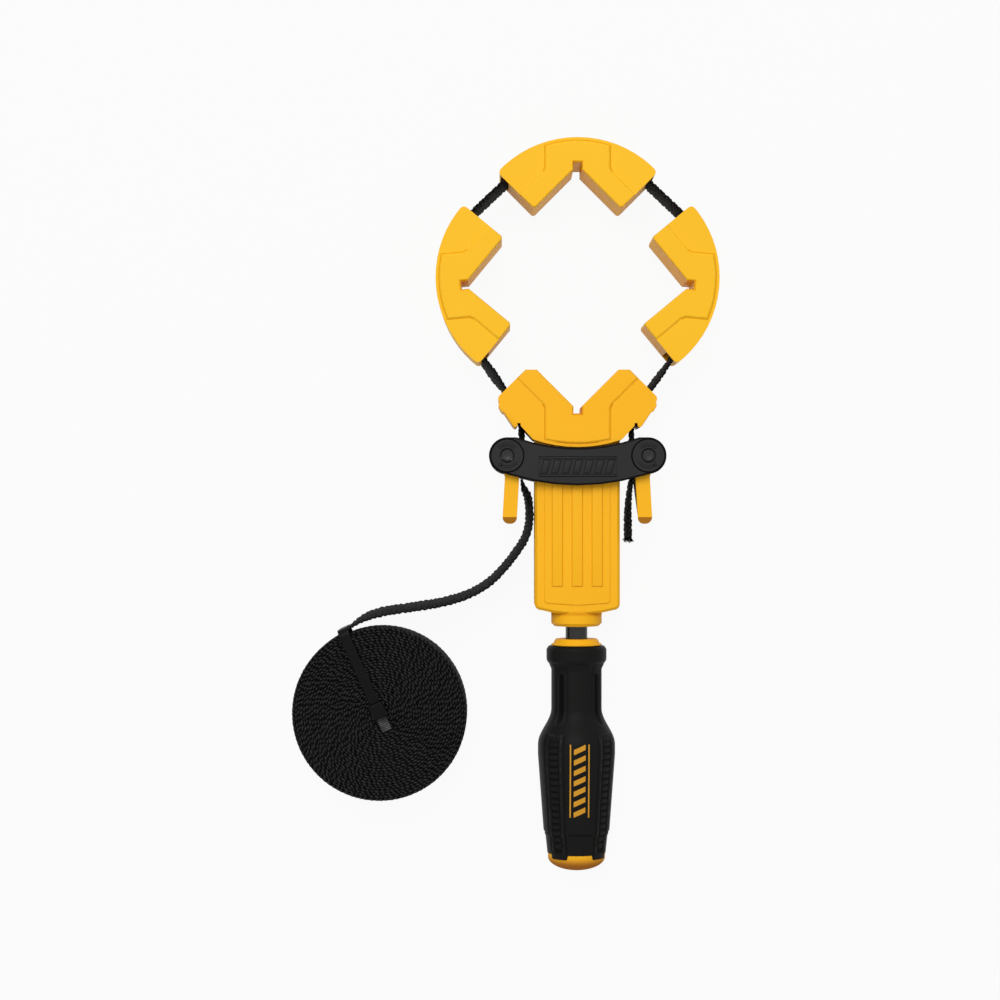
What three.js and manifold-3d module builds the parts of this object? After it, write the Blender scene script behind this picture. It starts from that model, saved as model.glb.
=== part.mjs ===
// Band clamp: a webbing strap round four V-jaws, drawn tight by a screw handle and held by two cam levers.
// The clamp lies on its back: +Y runs from the handle to the far jaw, +Z is up, sizes are in millimetres.
import * as THREE from "three";
import { mergeVertices } from "three/addons/utils/BufferGeometryUtils.js";
import Module from "manifold-3d";

const wasm = await Module();
wasm.setup();

// Clearances: between pieces that seat, between pieces that slide, and beside the strap's edges.
const FIT = 0.3;
const SLIDE = 0.6;
const EDGE_SLACK = 0.6;

// Webbing strap, and how far each stretch of it reaches into the next jaw.
const STRAP_WIDTH = 25.4;
const STRAP_THICK = 1.2;
const STRAP_INSERT = 1.5;

// Loop of jaws: where the V of each jaw lies, measured from the V of the head. The side jaws lie in from
// the corners of the square that spans the loop, and above them.
const LOOP_HEIGHT = 112.8;
const SIDE_INSET = 4.2;
const SIDE_LIFT = 1.35;
const SIDE_REACH = LOOP_HEIGHT / 2 - SIDE_INSET;
const SIDE_RISE = LOOP_HEIGHT / 2 + SIDE_LIFT;
const SIDE_TILT = 5.5;

// Loose jaw: outer round, material behind the V, half of the V's mouth, relief slot, strap channel, coring.
const JAW_ROUND = 50.1;
const JAW_BACK = 13;
const JAW_TIP = 20;
const JAW_TIP_TRIM = 1;
const JAW_CORNER = 2.2;
const JAW_WALL = 3.2;
const RELIEF_WIDTH = 3.9;
const RELIEF_DEPTH = 1.4;
const CHANNEL_WALL = 2.1;
const CHANNEL_WIDTH = 5;
const CHANNEL_END = 20;
const STRAP_BED = 5.1;
const CORE_WALL = 2.6;
const CORE_RIB = 1.8;
const CORE_START = 6;
const EDGE_BREAK = 0.5;

// Raised face on the front of each jaw.
const FACE_STEP = 0.8;
const FACE_RAIL = 8.5;
const FACE_KNEE = 13.3;
const FACE_HALF = 14.3;
const FACE_RIM = 2.3;

// Head: its V-jaw, the strap's way out of each arm, and the barrel below.
const HEAD_TIP = 21.4;
const HEAD_TIP_TRIM = 3.7;
const HEAD_BACK = 16.8;
const HEAD_ROUND = 62;
const HEAD_END = 16;
const HEAD_FLARE = 20.5;
const HEAD_BED = 9.1;
const HEAD_LENGTH = 94.3;
const EXIT_NICK = 1.1;
const EXIT_HOLD = 0.6;
const BARREL_HALF = 19.7;
const BARREL_WALL = 2.6;
const BARREL_CORNER = 3;
const BARREL_SAG = 2.2;
const BARREL_SWEEP = 70;
const BARREL_BREAK = 1.2;
const PANEL_STEP = 0.6;
const PANEL_SIDE = 4.5;
const PANEL_FOOT = 5.4;
const STRIP_WIDTH = 4.2;
const STRIP_PITCH = 9.2;
const STRIP_FOOT = 13.5;
const COLLAR_LENGTH = 5.6;
const COLLAR_GIRTH = 23.6;
const COLLAR_BREAK = 1.4;

// Screws that close the two head shells.
const SCREW_SHANK = 3;
const SCREW_HEAD = 5.6;
const SCREW_HEAD_HEIGHT = 2.2;
const SCREW_SINK = 1;
const SCREW_BITE = 9;
const SCREW_JAW_X = 11;
const SCREW_JAW_DROP = 7;
const SCREW_FOOT_X = 14.2;
const SCREW_FOOT_RISE = 8;

// Spindle, its thrust bearing, top bush and travelling nut.
const SPINDLE_GIRTH = 10.2;
const FLANGE_GIRTH = 17;
const FLANGE_THICK = 4;
const WASHER_THICK = 1.5;
const THRUST_FLOOR = 3.5;
const BULKHEAD = 4;
const JOURNAL_GIRTH = 7;
const BUSH_GIRTH = 12;
const BUSH_LENGTH = 6;
const NUT_SIZE = 13;
const NUT_LENGTH = 8;
const TANG_LENGTH = 42;
const TANG_HALF = 3.9;

// Travel of the bridge along the barrel.
const TRAVEL = 20;

// Bridge: pivots of the two cam levers, plates and yoke.
const PIVOT_SPAN = 64.8;
const PIVOT_DROP = 20.8;
const PLATE_END = 8.4;
const PLATE_TOP_RISE = 3.5;
const PLATE_TOP_ROUND = 84;
const PLATE_FOOT_DROP = 13.7;
const PLATE_FOOT_ROUND = 104;
const PLATE_BREAK = 0.9;
const PLATE_SWEEP = 84;
const BOSS_GIRTH = 14.6;
const BOSS_HEIGHT = 0.7;
const NAME_WIDTH = 36;
const NAME_HEIGHT = 9.4;
const NAME_DEPTH = 0.5;
const PIN_GIRTH = 5;
const PIN_HEAD = 6.4;
const PIN_HEAD_HEIGHT = 1.4;
const PIN_PROUD = 0.4;
const CLIP_GIRTH = 10;
const CLIP_THICK = 1.2;
const CLIP_SINK = 0.6;
const YOKE_DROP = 5.1;
const BEAM_HEIGHT = 9;
const BEAM_DEPTH = 10;
const HUB_HALF = 11;
const HUB_LENGTH = 13;
const HUB_FLOOR = 3.5;
const ANVIL_RISE = 3.9;
const ANVIL_TEETH = 6;
const TOOTH_PITCH = 2.4;
const TOOTH_DEPTH = 0.5;
const TENON_HEIGHT = 8;
const TENON_WIDTH = 2.2;
const TENON_LENGTH = 1.8;

// Cam lever: its cam, how far the cam falls over the opening swing, and its thumb arm.
const CAM_ROUND = 5.9;
const CAM_FALL = 1.3;
const CAM_SWING = 100;
const CAM_BACK = 4.4;
const CAM_TOOTH = 0.35;
const CAM_STEP = 10;
const CAM_FROM = -60;
const CAM_TO = 200;
const CAM_TEETH_FROM = -40;
const CAM_TEETH_TO = 60;
const LEVER_LENGTH = 30.5;
const LEVER_WIDTH = 6.6;
const LEVER_LEAN = 2;
const LEVER_ROOT = 9.5;
const LEVER_BREAK = 3;
const LEVER_ROUND = 2.7;

// Handle: bolster and butt of the core, and the grip moulded round it.
const NECK_GAP = 6;
const HANDLE_LENGTH = 107.8;
const BOLSTER_GIRTH = 23.6;
const BOLSTER_TOP_GIRTH = 19.4;
const BOLSTER_LENGTH = 3.3;
const BOLSTER_LIP = 1;
const CORE_GIRTH = 18.6;
const BUTT_GIRTH = 26.6;
const BUTT_DOME = 6.2;
const GRIP_GIRTH = 36;
const GRIP_LENGTH = 96;
const GRIP_FLANGE_GIRTH = 28;
const GRIP_FLANGE_LENGTH = 6.5;
const GRIP_FLANGE_BREAK = 1.2;
const GRIP_NECK_GIRTH = 23.5;
const GRIP_NECK_START = 10.5;
const GRIP_NECK_END = 29;
const GRIP_BELLY_START = 46;
const GRIP_BELLY_END = 50.5;
const GRIP_TAIL_START = 87;
const GRIP_TAIL_GIRTH = 30.6;
const GRIP_TAIL_STEP = 0.8;
const GRIP_END_GIRTH = 27.2;
const GRIP_PAD_DEPTH = 0.5;
const GRIP_FLUTE_DEPTH = 0.9;
const GRIP_FEATHER = 2;
const GRIP_FLUTE_HALF = 10;
const GRIP_RIB_HALF = 3;
const GRIP_PAD_HALF = 26;

// Free strap: chosen route from the left lock to the coil, then the coil, its tie and the strap's short tail.
const RUN_ROUTE = [
  [-25.4, 11.2], [-24.6, 8.4], [-22.9, 4.6], [-22.1, -0.8], [-22, -5.6], [-22.6, -10.4], [-24.3, -15.4],
  [-28.2, -21.5], [-33.4, -28.2], [-40.6, -35.4], [-50, -41], [-62, -44.8], [-77.3, -47.4], [-91, -49.6],
  [-99, -52.2], [-105, -55.9],
];
const RUN_STEPS = 44;
const COIL_X = -91.3;
const COIL_Y = -96.2;
const COIL_GIRTH = 82;
const COIL_TURNS = 21;
const COIL_PITCH = 1.65;
const COIL_START = 118;
const COIL_STEPS = 24;
const TIE_WIDTH = 4.6;
const TIE_THICK = 1.2;
const TIE_ANGLE = 113.6;
const TIE_HUB = 2.4;
const TIE_SLACK = 2.7;
const TIE_HEAD_LENGTH = 7;
const TIE_HEAD_WIDTH = 7;
const TIE_HEAD_HEIGHT = 3.4;
const TIE_STUB = 9.5;
const TAIL_LENGTH = 28.4;
const TAIL_LEAN = 1.6;

// Facets on round pieces.
const ROUND_SIDES = 28;
const SMALL_SIDES = 18;
const GRIP_SIDES = 48;
const ARC_STEP = 6;
const CORNER_STEP = 18;

// Levels and stations that follow from the sizes above.
const MID = GRIP_GIRTH / 2;
const channelHalf = STRAP_WIDTH / 2 + EDGE_SLACK;
const jawHalf = channelHalf + JAW_WALL;
const barrelRear = channelHalf - SLIDE;
const barrelFront = barrelRear - 2 * PANEL_STEP;
const cavityHalf = barrelFront - BARREL_WALL;
const length = JAW_BACK + LOOP_HEIGHT + HEAD_LENGTH + COLLAR_LENGTH + NECK_GAP + HANDLE_LENGTH;
const buttY = -length / 2;
const handleY = buttY + HANDLE_LENGTH;
const collarY = handleY + NECK_GAP;
const footY = collarY + COLLAR_LENGTH;
const headY = footY + HEAD_LENGTH;
const topY = headY + LOOP_HEIGHT;
const sideY = headY + SIDE_RISE;
const gripY = handleY - BOLSTER_LENGTH;
const pivotX = PIVOT_SPAN / 2;
const pivotY = headY - PIVOT_DROP;
const yokeY = pivotY - YOKE_DROP;
const hubTop = yokeY + HUB_LENGTH / 2;
const cavityTop = hubTop + SLIDE;
const thrustLow = footY + THRUST_FLOOR;
const thrustHigh = thrustLow + FLANGE_THICK + 2 * WASHER_THICK + 4 * FIT;
const flangeLow = thrustLow + WASHER_THICK + 2 * FIT;
const anvilIn = BARREL_HALF + SLIDE;
const strapX = pivotX - CAM_ROUND - FIT - STRAP_THICK / 2;
const anvilOut = strapX - STRAP_THICK / 2 - FIT;
const lockFoot = pivotY + ANVIL_RISE - ANVIL_TEETH * TOOTH_PITCH;
const flareEnd = [HEAD_TIP + HEAD_END, HEAD_END - HEAD_TIP];
const flareFoot = [HEAD_FLARE, HEAD_BACK - HEAD_ROUND + Math.sqrt(HEAD_ROUND ** 2 - HEAD_FLARE ** 2)];
const flareSlope = (flareFoot[1] - flareEnd[1]) / (flareEnd[0] - flareFoot[0]);
const flareAt = (x) => headY - flareFoot[1] + flareSlope * (x - HEAD_FLARE);
const exitY = flareAt(strapX);
const lockTop = exitY + TRAVEL + EXIT_HOLD;
const frontFace = 2 * MID;
const coilLow = TIE_THICK + 2 * FIT;
const coilHigh = coilLow + STRAP_WIDTH;
const coilMid = coilLow + STRAP_WIDTH / 2;
const spindleRound = SPINDLE_GIRTH / 2;
const rad = THREE.MathUtils.degToRad;
const deg = THREE.MathUtils.radToDeg;

// Colours and finishes.
const YELLOW = { color: 0xf2b01e, roughness: 0.45, metalness: 0 };
const BLACK = { color: 0x242325, roughness: 0.55, metalness: 0 };
const RUBBER = { color: 0x1c1b1b, roughness: 0.75, metalness: 0 };
const WEBBING = { color: 0x17161a, roughness: 0.9, metalness: 0 };
const STEEL = { color: 0x9a9da0, roughness: 0.35, metalness: 1 };
const OXIDE = { color: 0x202022, roughness: 0.3, metalness: 1 };
const BRASS = { color: 0xb8923f, roughness: 0.35, metalness: 1 };
const NYLON = { color: 0xd9d6cb, roughness: 0.5, metalness: 0 };

// Solids for joining and cutting, made from closed three.js geometry and turned back into it.
function solid(geometry) {
  const bare = new THREE.BufferGeometry();
  bare.setAttribute("position", geometry.getAttribute("position"));
  bare.setIndex(geometry.index);
  const merged = mergeVertices(bare);
  const corners = [];
  const index = merged.index.array;
  for (let i = 0; i < index.length; i += 3) {
    const [a, b, c] = index.slice(i, i + 3);
    if (a !== b && b !== c && c !== a) corners.push(a, b, c);
  }
  const vertProperties = Float32Array.from(merged.getAttribute("position").array);
  const triVerts = Uint32Array.from(corners);
  return new wasm.Manifold(new wasm.Mesh({ numProp: 3, vertProperties, triVerts }));
}

function geometryOf(made) {
  const { vertProperties, triVerts } = made.getMesh();
  const geometry = new THREE.BufferGeometry();
  geometry.setAttribute("position", new THREE.BufferAttribute(Float32Array.from(vertProperties), 3));
  geometry.setIndex(new THREE.BufferAttribute(Uint32Array.from(triVerts), 1));
  const faceted = geometry.toNonIndexed();
  faceted.computeVertexNormals();
  return faceted;
}

const join = (...solids) => solids.reduce((all, one) => all.add(one));
const cut = (body, ...tools) => tools.reduce((left, tool) => left.subtract(tool), body);

// A flat outline raised from one level to another, with both rims chamfered where a chamfer is given.
function prism(points, low, high, chamfer = 0) {
  const shape = new THREE.Shape(points.map(([x, y]) => new THREE.Vector2(x, y)));
  const geometry = new THREE.ExtrudeGeometry(shape, {
    depth: high - low - 2 * chamfer,
    bevelEnabled: chamfer > 0,
    bevelThickness: chamfer,
    bevelSize: chamfer,
    bevelOffset: -chamfer,
    bevelSegments: 1,
  });
  return solid(geometry.translate(0, 0, low + chamfer));
}

function box(x0, x1, y0, y1, z0, z1) {
  const geometry = new THREE.BoxGeometry(x1 - x0, y1 - y0, z1 - z0);
  return solid(geometry.translate((x0 + x1) / 2, (y0 + y1) / 2, (z0 + z1) / 2));
}

// A profile of [radius, station] pairs, lowest first, turned about the spindle's axis.
function turnedY(profile, sides = ROUND_SIDES) {
  const points = profile.map(([r, y]) => new THREE.Vector2(r, y));
  return solid(new THREE.LatheGeometry(points, sides).translate(0, 0, MID));
}

// A profile of [radius, level] pairs, lowest first, turned about an upright axis at x, y.
function turnedZ(profile, x, y, sides = SMALL_SIDES) {
  const points = profile.map(([r, z]) => new THREE.Vector2(r, z));
  return solid(new THREE.LatheGeometry(points, sides).rotateX(Math.PI / 2).translate(x, y, 0));
}

const rodY = (r, y0, y1) => turnedY([[0, y0], [r, y0], [r, y1], [0, y1]]);
const rodZ = (r, z0, z1, x, y, sides) => turnedZ([[0, z0], [r, z0], [r, z1], [0, z1]], x, y, sides);
const ringY = (r0, r1, y0, y1) => turnedY([[r0, y0], [r1, y0], [r1, y1], [r0, y1], [r0, y0]]);
const ringZ = (r0, r1, z0, z1, x, y) => turnedZ([[r0, z0], [r1, z0], [r1, z1], [r0, z1], [r0, z0]], x, y);

// Points along an arc from one angle to another, in degrees.
function arcPoints([cx, cy], radius, from, to, step = ARC_STEP) {
  const count = Math.max(2, Math.ceil(Math.abs(to - from) / step));
  return Array.from({ length: count + 1 }, (_, i) => {
    const angle = rad(from + ((to - from) * i) / count);
    return [cx + radius * Math.cos(angle), cy + radius * Math.sin(angle)];
  });
}

// A corner between two points, rounded off by an arc that touches both of its edges.
function roundedCorner(before, corner, after, radius) {
  const way = ([x, y]) => {
    const span = Math.hypot(x - corner[0], y - corner[1]);
    return [(x - corner[0]) / span, (y - corner[1]) / span];
  };
  const [a, b] = [way(before), way(after)];
  const half = Math.acos(a[0] * b[0] + a[1] * b[1]) / 2;
  const reach = radius / Math.sin(half) / Math.hypot(a[0] + b[0], a[1] + b[1]);
  const centre = along(corner, [a[0] + b[0], a[1] + b[1]], reach);
  const touch = (edge) => along(corner, edge, radius / Math.tan(half));
  const angle = ([x, y]) => deg(Math.atan2(y - centre[1], x - centre[0]));
  const from = angle(touch(a));
  const turn = ((angle(touch(b)) - from + 540) % 360) - 180;
  return arcPoints(centre, radius, from, from + turn, CORNER_STEP);
}

const mirrored = (points) => points.map(([x, y]) => [-x, y]).reverse();
const along = ([x, y], [dx, dy], distance) => [x + dx * distance, y + dy * distance];

// A skin over a row of rings with as many points each, its last ring joined back to its first.
function skin(rings) {
  const count = rings[0].length;
  const index = [];
  rings.forEach((_, i) => {
    const next = (i + 1) % rings.length;
    for (let j = 0; j < count; j += 1) {
      const [a, b] = [i * count + j, i * count + ((j + 1) % count)];
      const [c, d] = [next * count + j, next * count + ((j + 1) % count)];
      index.push(a, b, d, a, d, c);
    }
  });
  const geometry = new THREE.BufferGeometry();
  geometry.setAttribute("position", new THREE.Float32BufferAttribute(rings.flat(2), 3));
  geometry.setIndex(index);
  return geometry;
}

// The four edges of a band stood on edge along a route of [x, y, level] points.
function bandRings(route, thick, width) {
  return route.map(([x, y, z], i) => {
    const [ax, ay] = route[Math.max(i - 1, 0)];
    const [bx, by] = route[Math.min(i + 1, route.length - 1)];
    const span = Math.hypot(bx - ax, by - ay);
    const [nx, ny] = [((ay - by) / span) * (thick / 2), ((bx - ax) / span) * (thick / 2)];
    const [low, high] = [z - width / 2, z + width / 2];
    return [[x + nx, y + ny, low], [x + nx, y + ny, high], [x - nx, y - ny, high], [x - nx, y - ny, low]];
  });
}

// A band with closed ends: the skin of its rings, with the skin's way back replaced by two end faces.
function band(route, thick = STRAP_THICK, width = STRAP_WIDTH) {
  const rings = bandRings(route, thick, width);
  const geometry = skin(rings);
  const last = 4 * (rings.length - 1);
  const walls = Array.from(geometry.index.array).slice(0, 24 * (rings.length - 1));
  geometry.setIndex([...walls, 0, 2, 1, 0, 3, 2, last, last + 1, last + 2, last, last + 2, last + 3]);
  return geometry;
}

const onEdge = (points) => points.map(([x, y]) => [x, y, MID]);
const passage = (from, to, width) => solid(band(onEdge([from, to]), width, 2 * channelHalf));

// Every piece is one named mesh in the clamp's own frame.
const clamp = new THREE.Group();

function place(name, made, finish) {
  const geometry = made.isBufferGeometry ? made : geometryOf(made);
  const mesh = new THREE.Mesh(geometry, new THREE.MeshStandardMaterial(finish));
  mesh.name = name;
  clamp.add(mesh);
  return mesh;
}

// Jaw frame: the V's corner is the origin, the V opens to -Y and the outer round faces +Y.
const roundCentre = (back) => back - JAW_ROUND;

// How far past the tip, along the 45 degree end face, the outer round is met.
function endReach(tip, back) {
  const rise = -tip - roundCentre(back);
  const sum = tip + rise;
  return (Math.sqrt(sum ** 2 - 2 * (tip ** 2 + rise ** 2 - JAW_ROUND ** 2)) - sum) / 2;
}

// The V with its relief slot, up to where the end face starts.
function flankPoints(tip, trim) {
  const step = trim / Math.SQRT2;
  const slot = RELIEF_WIDTH / 2;
  return [[slot, RELIEF_DEPTH], [slot, -slot], [tip - step, step - tip], [tip + step, step - tip]];
}

const bothSides = (right) => [...right, ...mirrored(right.slice(0, -1))];

function looseOutline() {
  const reach = endReach(JAW_TIP, JAW_BACK);
  const corner = [JAW_TIP + reach, reach - JAW_TIP];
  const centre = [0, roundCentre(JAW_BACK)];
  const start = deg(Math.atan2(corner[1] - centre[1], corner[0]) + (2 * JAW_CORNER) / JAW_ROUND);
  const flank = flankPoints(JAW_TIP, JAW_TIP_TRIM);
  const outer = arcPoints(centre, JAW_ROUND, start, 90);
  return bothSides([...flank, ...roundedCorner(flank.at(-1), corner, outer[0], JAW_CORNER), ...outer]);
}

// Head outline: each arm flares straight from its end to the round below the V.
function headOutline() {
  const flank = flankPoints(HEAD_TIP, HEAD_TIP_TRIM);
  const centre = [0, HEAD_BACK - HEAD_ROUND];
  const outer = arcPoints(centre, HEAD_ROUND, deg(Math.acos(HEAD_FLARE / HEAD_ROUND)), 90);
  return bothSides([...flank, ...roundedCorner(flank.at(-1), flareEnd, flareFoot, JAW_CORNER), ...outer]);
}

// Ground round the raised face: beyond a rail beside each flank, a knee, and a rim along the outer round.
function groundOutline(tip, back, round) {
  const rail = FACE_RAIL / Math.SQRT2;
  const knee = FACE_KNEE / Math.SQRT2;
  const rim = round - FACE_RIM;
  const far = tip + FACE_RAIL + rail;
  return bothSides([
    [far + rail, far + rail],
    [far + rail, rail - tip - FACE_RAIL],
    [tip + FACE_RAIL + rail, rail - tip - FACE_RAIL],
    [knee + rail, rail - knee],
    [FACE_HALF, rail - knee + FACE_RIM],
    ...arcPoints([0, back - round], rim, deg(Math.acos(FACE_HALF / rim)), 90),
  ]);
}

function jawBlock(outline, ground) {
  const top = MID + jawHalf;
  const body = prism(outline, MID - jawHalf, top, EDGE_BREAK);
  return cut(body, prism(ground, top - FACE_STEP, top + 2 * FACE_STEP, FACE_STEP));
}

// Two cells cored from the back of one arm, with a rib between them, inside the strap channel's wall.
function armCells(side, inside) {
  const end = JAW_TIP * Math.SQRT2 - CORE_WALL;
  const middle = (CORE_START + end) / 2;
  const [low, high] = [MID - jawHalf - SLIDE, MID + channelHalf];
  const spans = [[CORE_START, middle - CORE_RIB / 2], [middle + CORE_RIB / 2, end]];
  return spans.map(([near, far]) => {
    const cell = new THREE.BoxGeometry(far - near, JAW_ROUND, high - low);
    const [a, b] = [(near + far) / 2, CORE_WALL + JAW_ROUND / 2];
    cell.rotateZ((-side * Math.PI) / 4);
    cell.translate((side * (a + b)) / Math.SQRT2, (b - a) / Math.SQRT2, (low + high) / 2);
    return solid(cell).intersect(inside);
  });
}

function looseJaw() {
  const centre = [0, roundCentre(JAW_BACK)];
  const outer = JAW_ROUND - CHANNEL_WALL;
  const inner = outer - CHANNEL_WIDTH;
  const [from, to] = [CHANNEL_END, 180 - CHANNEL_END];
  const track = [...arcPoints(centre, outer, from, to), ...arcPoints(centre, inner, to, from)];
  const channel = prism(track, MID - channelHalf, MID + channelHalf);
  const reach = MID + jawHalf + SLIDE;
  const inside = rodZ(inner - CORE_WALL, -reach, reach + MID, ...centre, 2 * ROUND_SIDES);
  const cells = [...armCells(-1, inside), ...armCells(1, inside)];
  const block = jawBlock(looseOutline(), groundOutline(JAW_TIP, JAW_BACK, JAW_ROUND));
  return cut(block, channel, ...cells);
}

// Strap line: the strap lies on a round bed in each jaw and runs straight between the beds.
const bed = JAW_ROUND - STRAP_BED;
const headBed = JAW_ROUND - HEAD_BED;
const tilt = rad(SIDE_TILT);
const topCentre = [0, topY + roundCentre(JAW_BACK)];
const headCentre = [0, headY - roundCentre(HEAD_BACK)];
const sideCentre = along([-SIDE_REACH, sideY], [Math.cos(tilt), Math.sin(tilt)], -roundCentre(JAW_BACK));

// Direction of the straight stretch from the left bed to another bed, and the outward normal that it shares.
function stretch([ax, ay], [bx, by], radiusGap, turn) {
  const span = Math.hypot(bx - ax, by - ay);
  const [dx, dy] = [(bx - ax) / span, (by - ay) / span];
  const lean = radiusGap / span;
  const square = Math.sqrt(1 - lean ** 2);
  const normal = [dx * lean - turn * dy * square, dy * lean + turn * dx * square];
  return { normal, direction: [turn * normal[1], -turn * normal[0]] };
}

const upper = stretch(sideCentre, topCentre, 0, 1);
const lower = stretch(sideCentre, headCentre, bed - headBed, -1);
const topLeave = along(topCentre, upper.normal, bed);
const headEnter = along(headCentre, lower.normal, headBed);
const angleOf = ([x, y]) => (deg(Math.atan2(y, x)) + 360) % 360;

// Share of the bridge's travel that a side jaw takes, and what is left for the stretch above it.
const sideShare = 1 / (1 + lower.direction[0] / upper.direction[0]);
const upperShare = 1 - sideShare;

function sideStrap() {
  return [
    along(topLeave, upper.direction, STRAP_INSERT),
    ...arcPoints(sideCentre, bed, angleOf(upper.normal), angleOf(lower.normal)),
    along(headEnter, lower.direction, STRAP_INSERT),
  ];
}

function topStrap() {
  const kept = deg((2 * STRAP_INSERT + upperShare * TRAVEL) / bed);
  const half = angleOf(upper.normal) - 90 - kept;
  return arcPoints(topCentre, bed, 90 - half, 90 + half);
}

// Head frame: the jaw frame turned over, so that the V opens to +Y.
const toHead = ([x, y]) => [x, headY - y];

function barrelOutline() {
  const half = BARREL_HALF - BARREL_CORNER;
  const round = (half ** 2 + BARREL_SAG ** 2) / (2 * BARREL_SAG);
  const sweep = deg(Math.asin(half / round));
  const side = footY + BARREL_SAG + BARREL_CORNER;
  return [
    [-BARREL_HALF, headY - HEAD_BACK / 2],
    ...arcPoints([-half, side], BARREL_CORNER, 180, 180 + BARREL_SWEEP),
    ...arcPoints([0, footY + round], round, 270 - sweep, 270 + sweep),
    ...arcPoints([half, side], BARREL_CORNER, 360 - BARREL_SWEEP, 360),
    [BARREL_HALF, headY - HEAD_BACK / 2],
  ];
}

// Raised panel and strips on the barrel's front, below the round of the V-jaw.
function barrelRelief() {
  const top = headY - HEAD_BACK + SLIDE;
  const half = BARREL_HALF - PANEL_SIDE;
  const level = MID + barrelFront;
  const low = footY + PANEL_FOOT;
  const right = [[0, low - 1], [half - 1, low], [half, low + 1], [half, top]];
  const field = [...right, ...mirrored(right.slice(1))];
  const pieces = [prism(field, level - BARREL_BREAK, level + PANEL_STEP, PANEL_STEP / 2)];
  for (const x of [-STRIP_PITCH, 0, STRIP_PITCH]) {
    const [x0, x1, y0] = [x - STRIP_WIDTH / 2, x + STRIP_WIDTH / 2, footY + STRIP_FOOT];
    const strip = [[x0, top], [x0, y0], [x1, y0], [x1, top]];
    pieces.push(prism(strip, level - BARREL_BREAK, level + 2 * PANEL_STEP, PANEL_STEP / 2));
  }
  return pieces;
}

// Ways through one arm: the strap's way in from the side jaw, its way down to the lock, and a nick beside it.
function armWays(side) {
  const across = ([x, y]) => [-side * x, y];
  const reach = STRAP_INSERT + sideShare * TRAVEL + SLIDE;
  const wayIn = [along(headEnter, lower.direction, -JAW_BACK), along(headEnter, lower.direction, reach)];
  const wide = STRAP_THICK + 4 * SLIDE;
  const wayDown = [[-strapX, exitY - 2 * wide], [-strapX, lockTop + SLIDE]];
  const [x0, x1] = [strapX + STRAP_THICK / 2, strapX + wide];
  const [y0, y1] = [exitY - wide, flareAt(x0 + EXIT_NICK)];
  const nick = [[x0, y0], [x1, y0], [x1, y1], [x0, y1]];
  return [
    passage(...wayIn.map(across), wide + SLIDE),
    passage(...wayDown.map(across), wide),
    prism(nick.map(([x, y]) => [side * x, y]), 0, frontFace),
  ];
}

const screwPlaces = [
  { name: "jaw_left", x: -SCREW_JAW_X, y: headY - SCREW_JAW_DROP, rear: MID - jawHalf },
  { name: "jaw_right", x: SCREW_JAW_X, y: headY - SCREW_JAW_DROP, rear: MID - jawHalf },
  { name: "foot_left", x: -SCREW_FOOT_X, y: footY + SCREW_FOOT_RISE, rear: MID - barrelRear },
  { name: "foot_right", x: SCREW_FOOT_X, y: footY + SCREW_FOOT_RISE, rear: MID - barrelRear },
];

// A screw from the back: sunk head, shank across the joint and a blunt point in the front shell.
function shellScrew({ x, y, rear }, gap) {
  const [head, shank] = [SCREW_HEAD / 2 + gap, SCREW_SHANK / 2 + gap];
  const low = gap > 0 ? rear - SLIDE : rear + SCREW_SINK;
  const seat = rear + SCREW_SINK + SCREW_HEAD_HEIGHT + gap;
  const tip = MID + SCREW_BITE + gap;
  const cap = [[0, low], [head, low], [head, seat]];
  return turnedZ([...cap, [shank, seat], [shank, tip - shank / 2], [0, tip]], x, y);
}

function headBody() {
  const barrel = prism(barrelOutline(), MID - barrelRear, MID + barrelFront, BARREL_BREAK);
  const collarRound = COLLAR_GIRTH / 2;
  const collar = turnedY([
    [0, collarY],
    [collarRound - COLLAR_BREAK, collarY],
    [collarRound, collarY + COLLAR_BREAK],
    [collarRound, footY + BARREL_SAG],
    [0, footY + BARREL_SAG],
  ]);
  const ground = groundOutline(HEAD_TIP, HEAD_BACK, HEAD_ROUND);
  const block = jawBlock(headOutline().map(toHead), ground.map(toHead));
  const whole = join(block, barrel, collar, ...barrelRelief());
  const inner = BARREL_HALF - BARREL_WALL;
  const cavity = box(-inner, inner, thrustHigh + BULKHEAD, cavityTop, MID - cavityHalf, MID + cavityHalf);
  const slotHalf = BEAM_DEPTH / 2 + SLIDE;
  const slotLow = yokeY - BEAM_HEIGHT / 2 - TRAVEL - SLIDE;
  const slotTop = yokeY + BEAM_HEIGHT / 2 + SLIDE;
  const slots = box(-anvilIn, anvilIn, slotLow, slotTop, MID - slotHalf, MID + slotHalf);
  const thrust = rodY(FLANGE_GIRTH / 2 + SLIDE, thrustLow, thrustHigh);
  const bore = rodY(spindleRound + SLIDE, collarY - SLIDE, cavityTop);
  const seat = rodY(BUSH_GIRTH / 2 + FIT, hubTop, cavityTop + BUSH_LENGTH + FIT);
  const holes = screwPlaces.map((spot) => shellScrew(spot, FIT));
  return cut(whole, cavity, slots, thrust, bore, seat, ...armWays(-1), ...armWays(1), ...holes);
}

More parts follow.
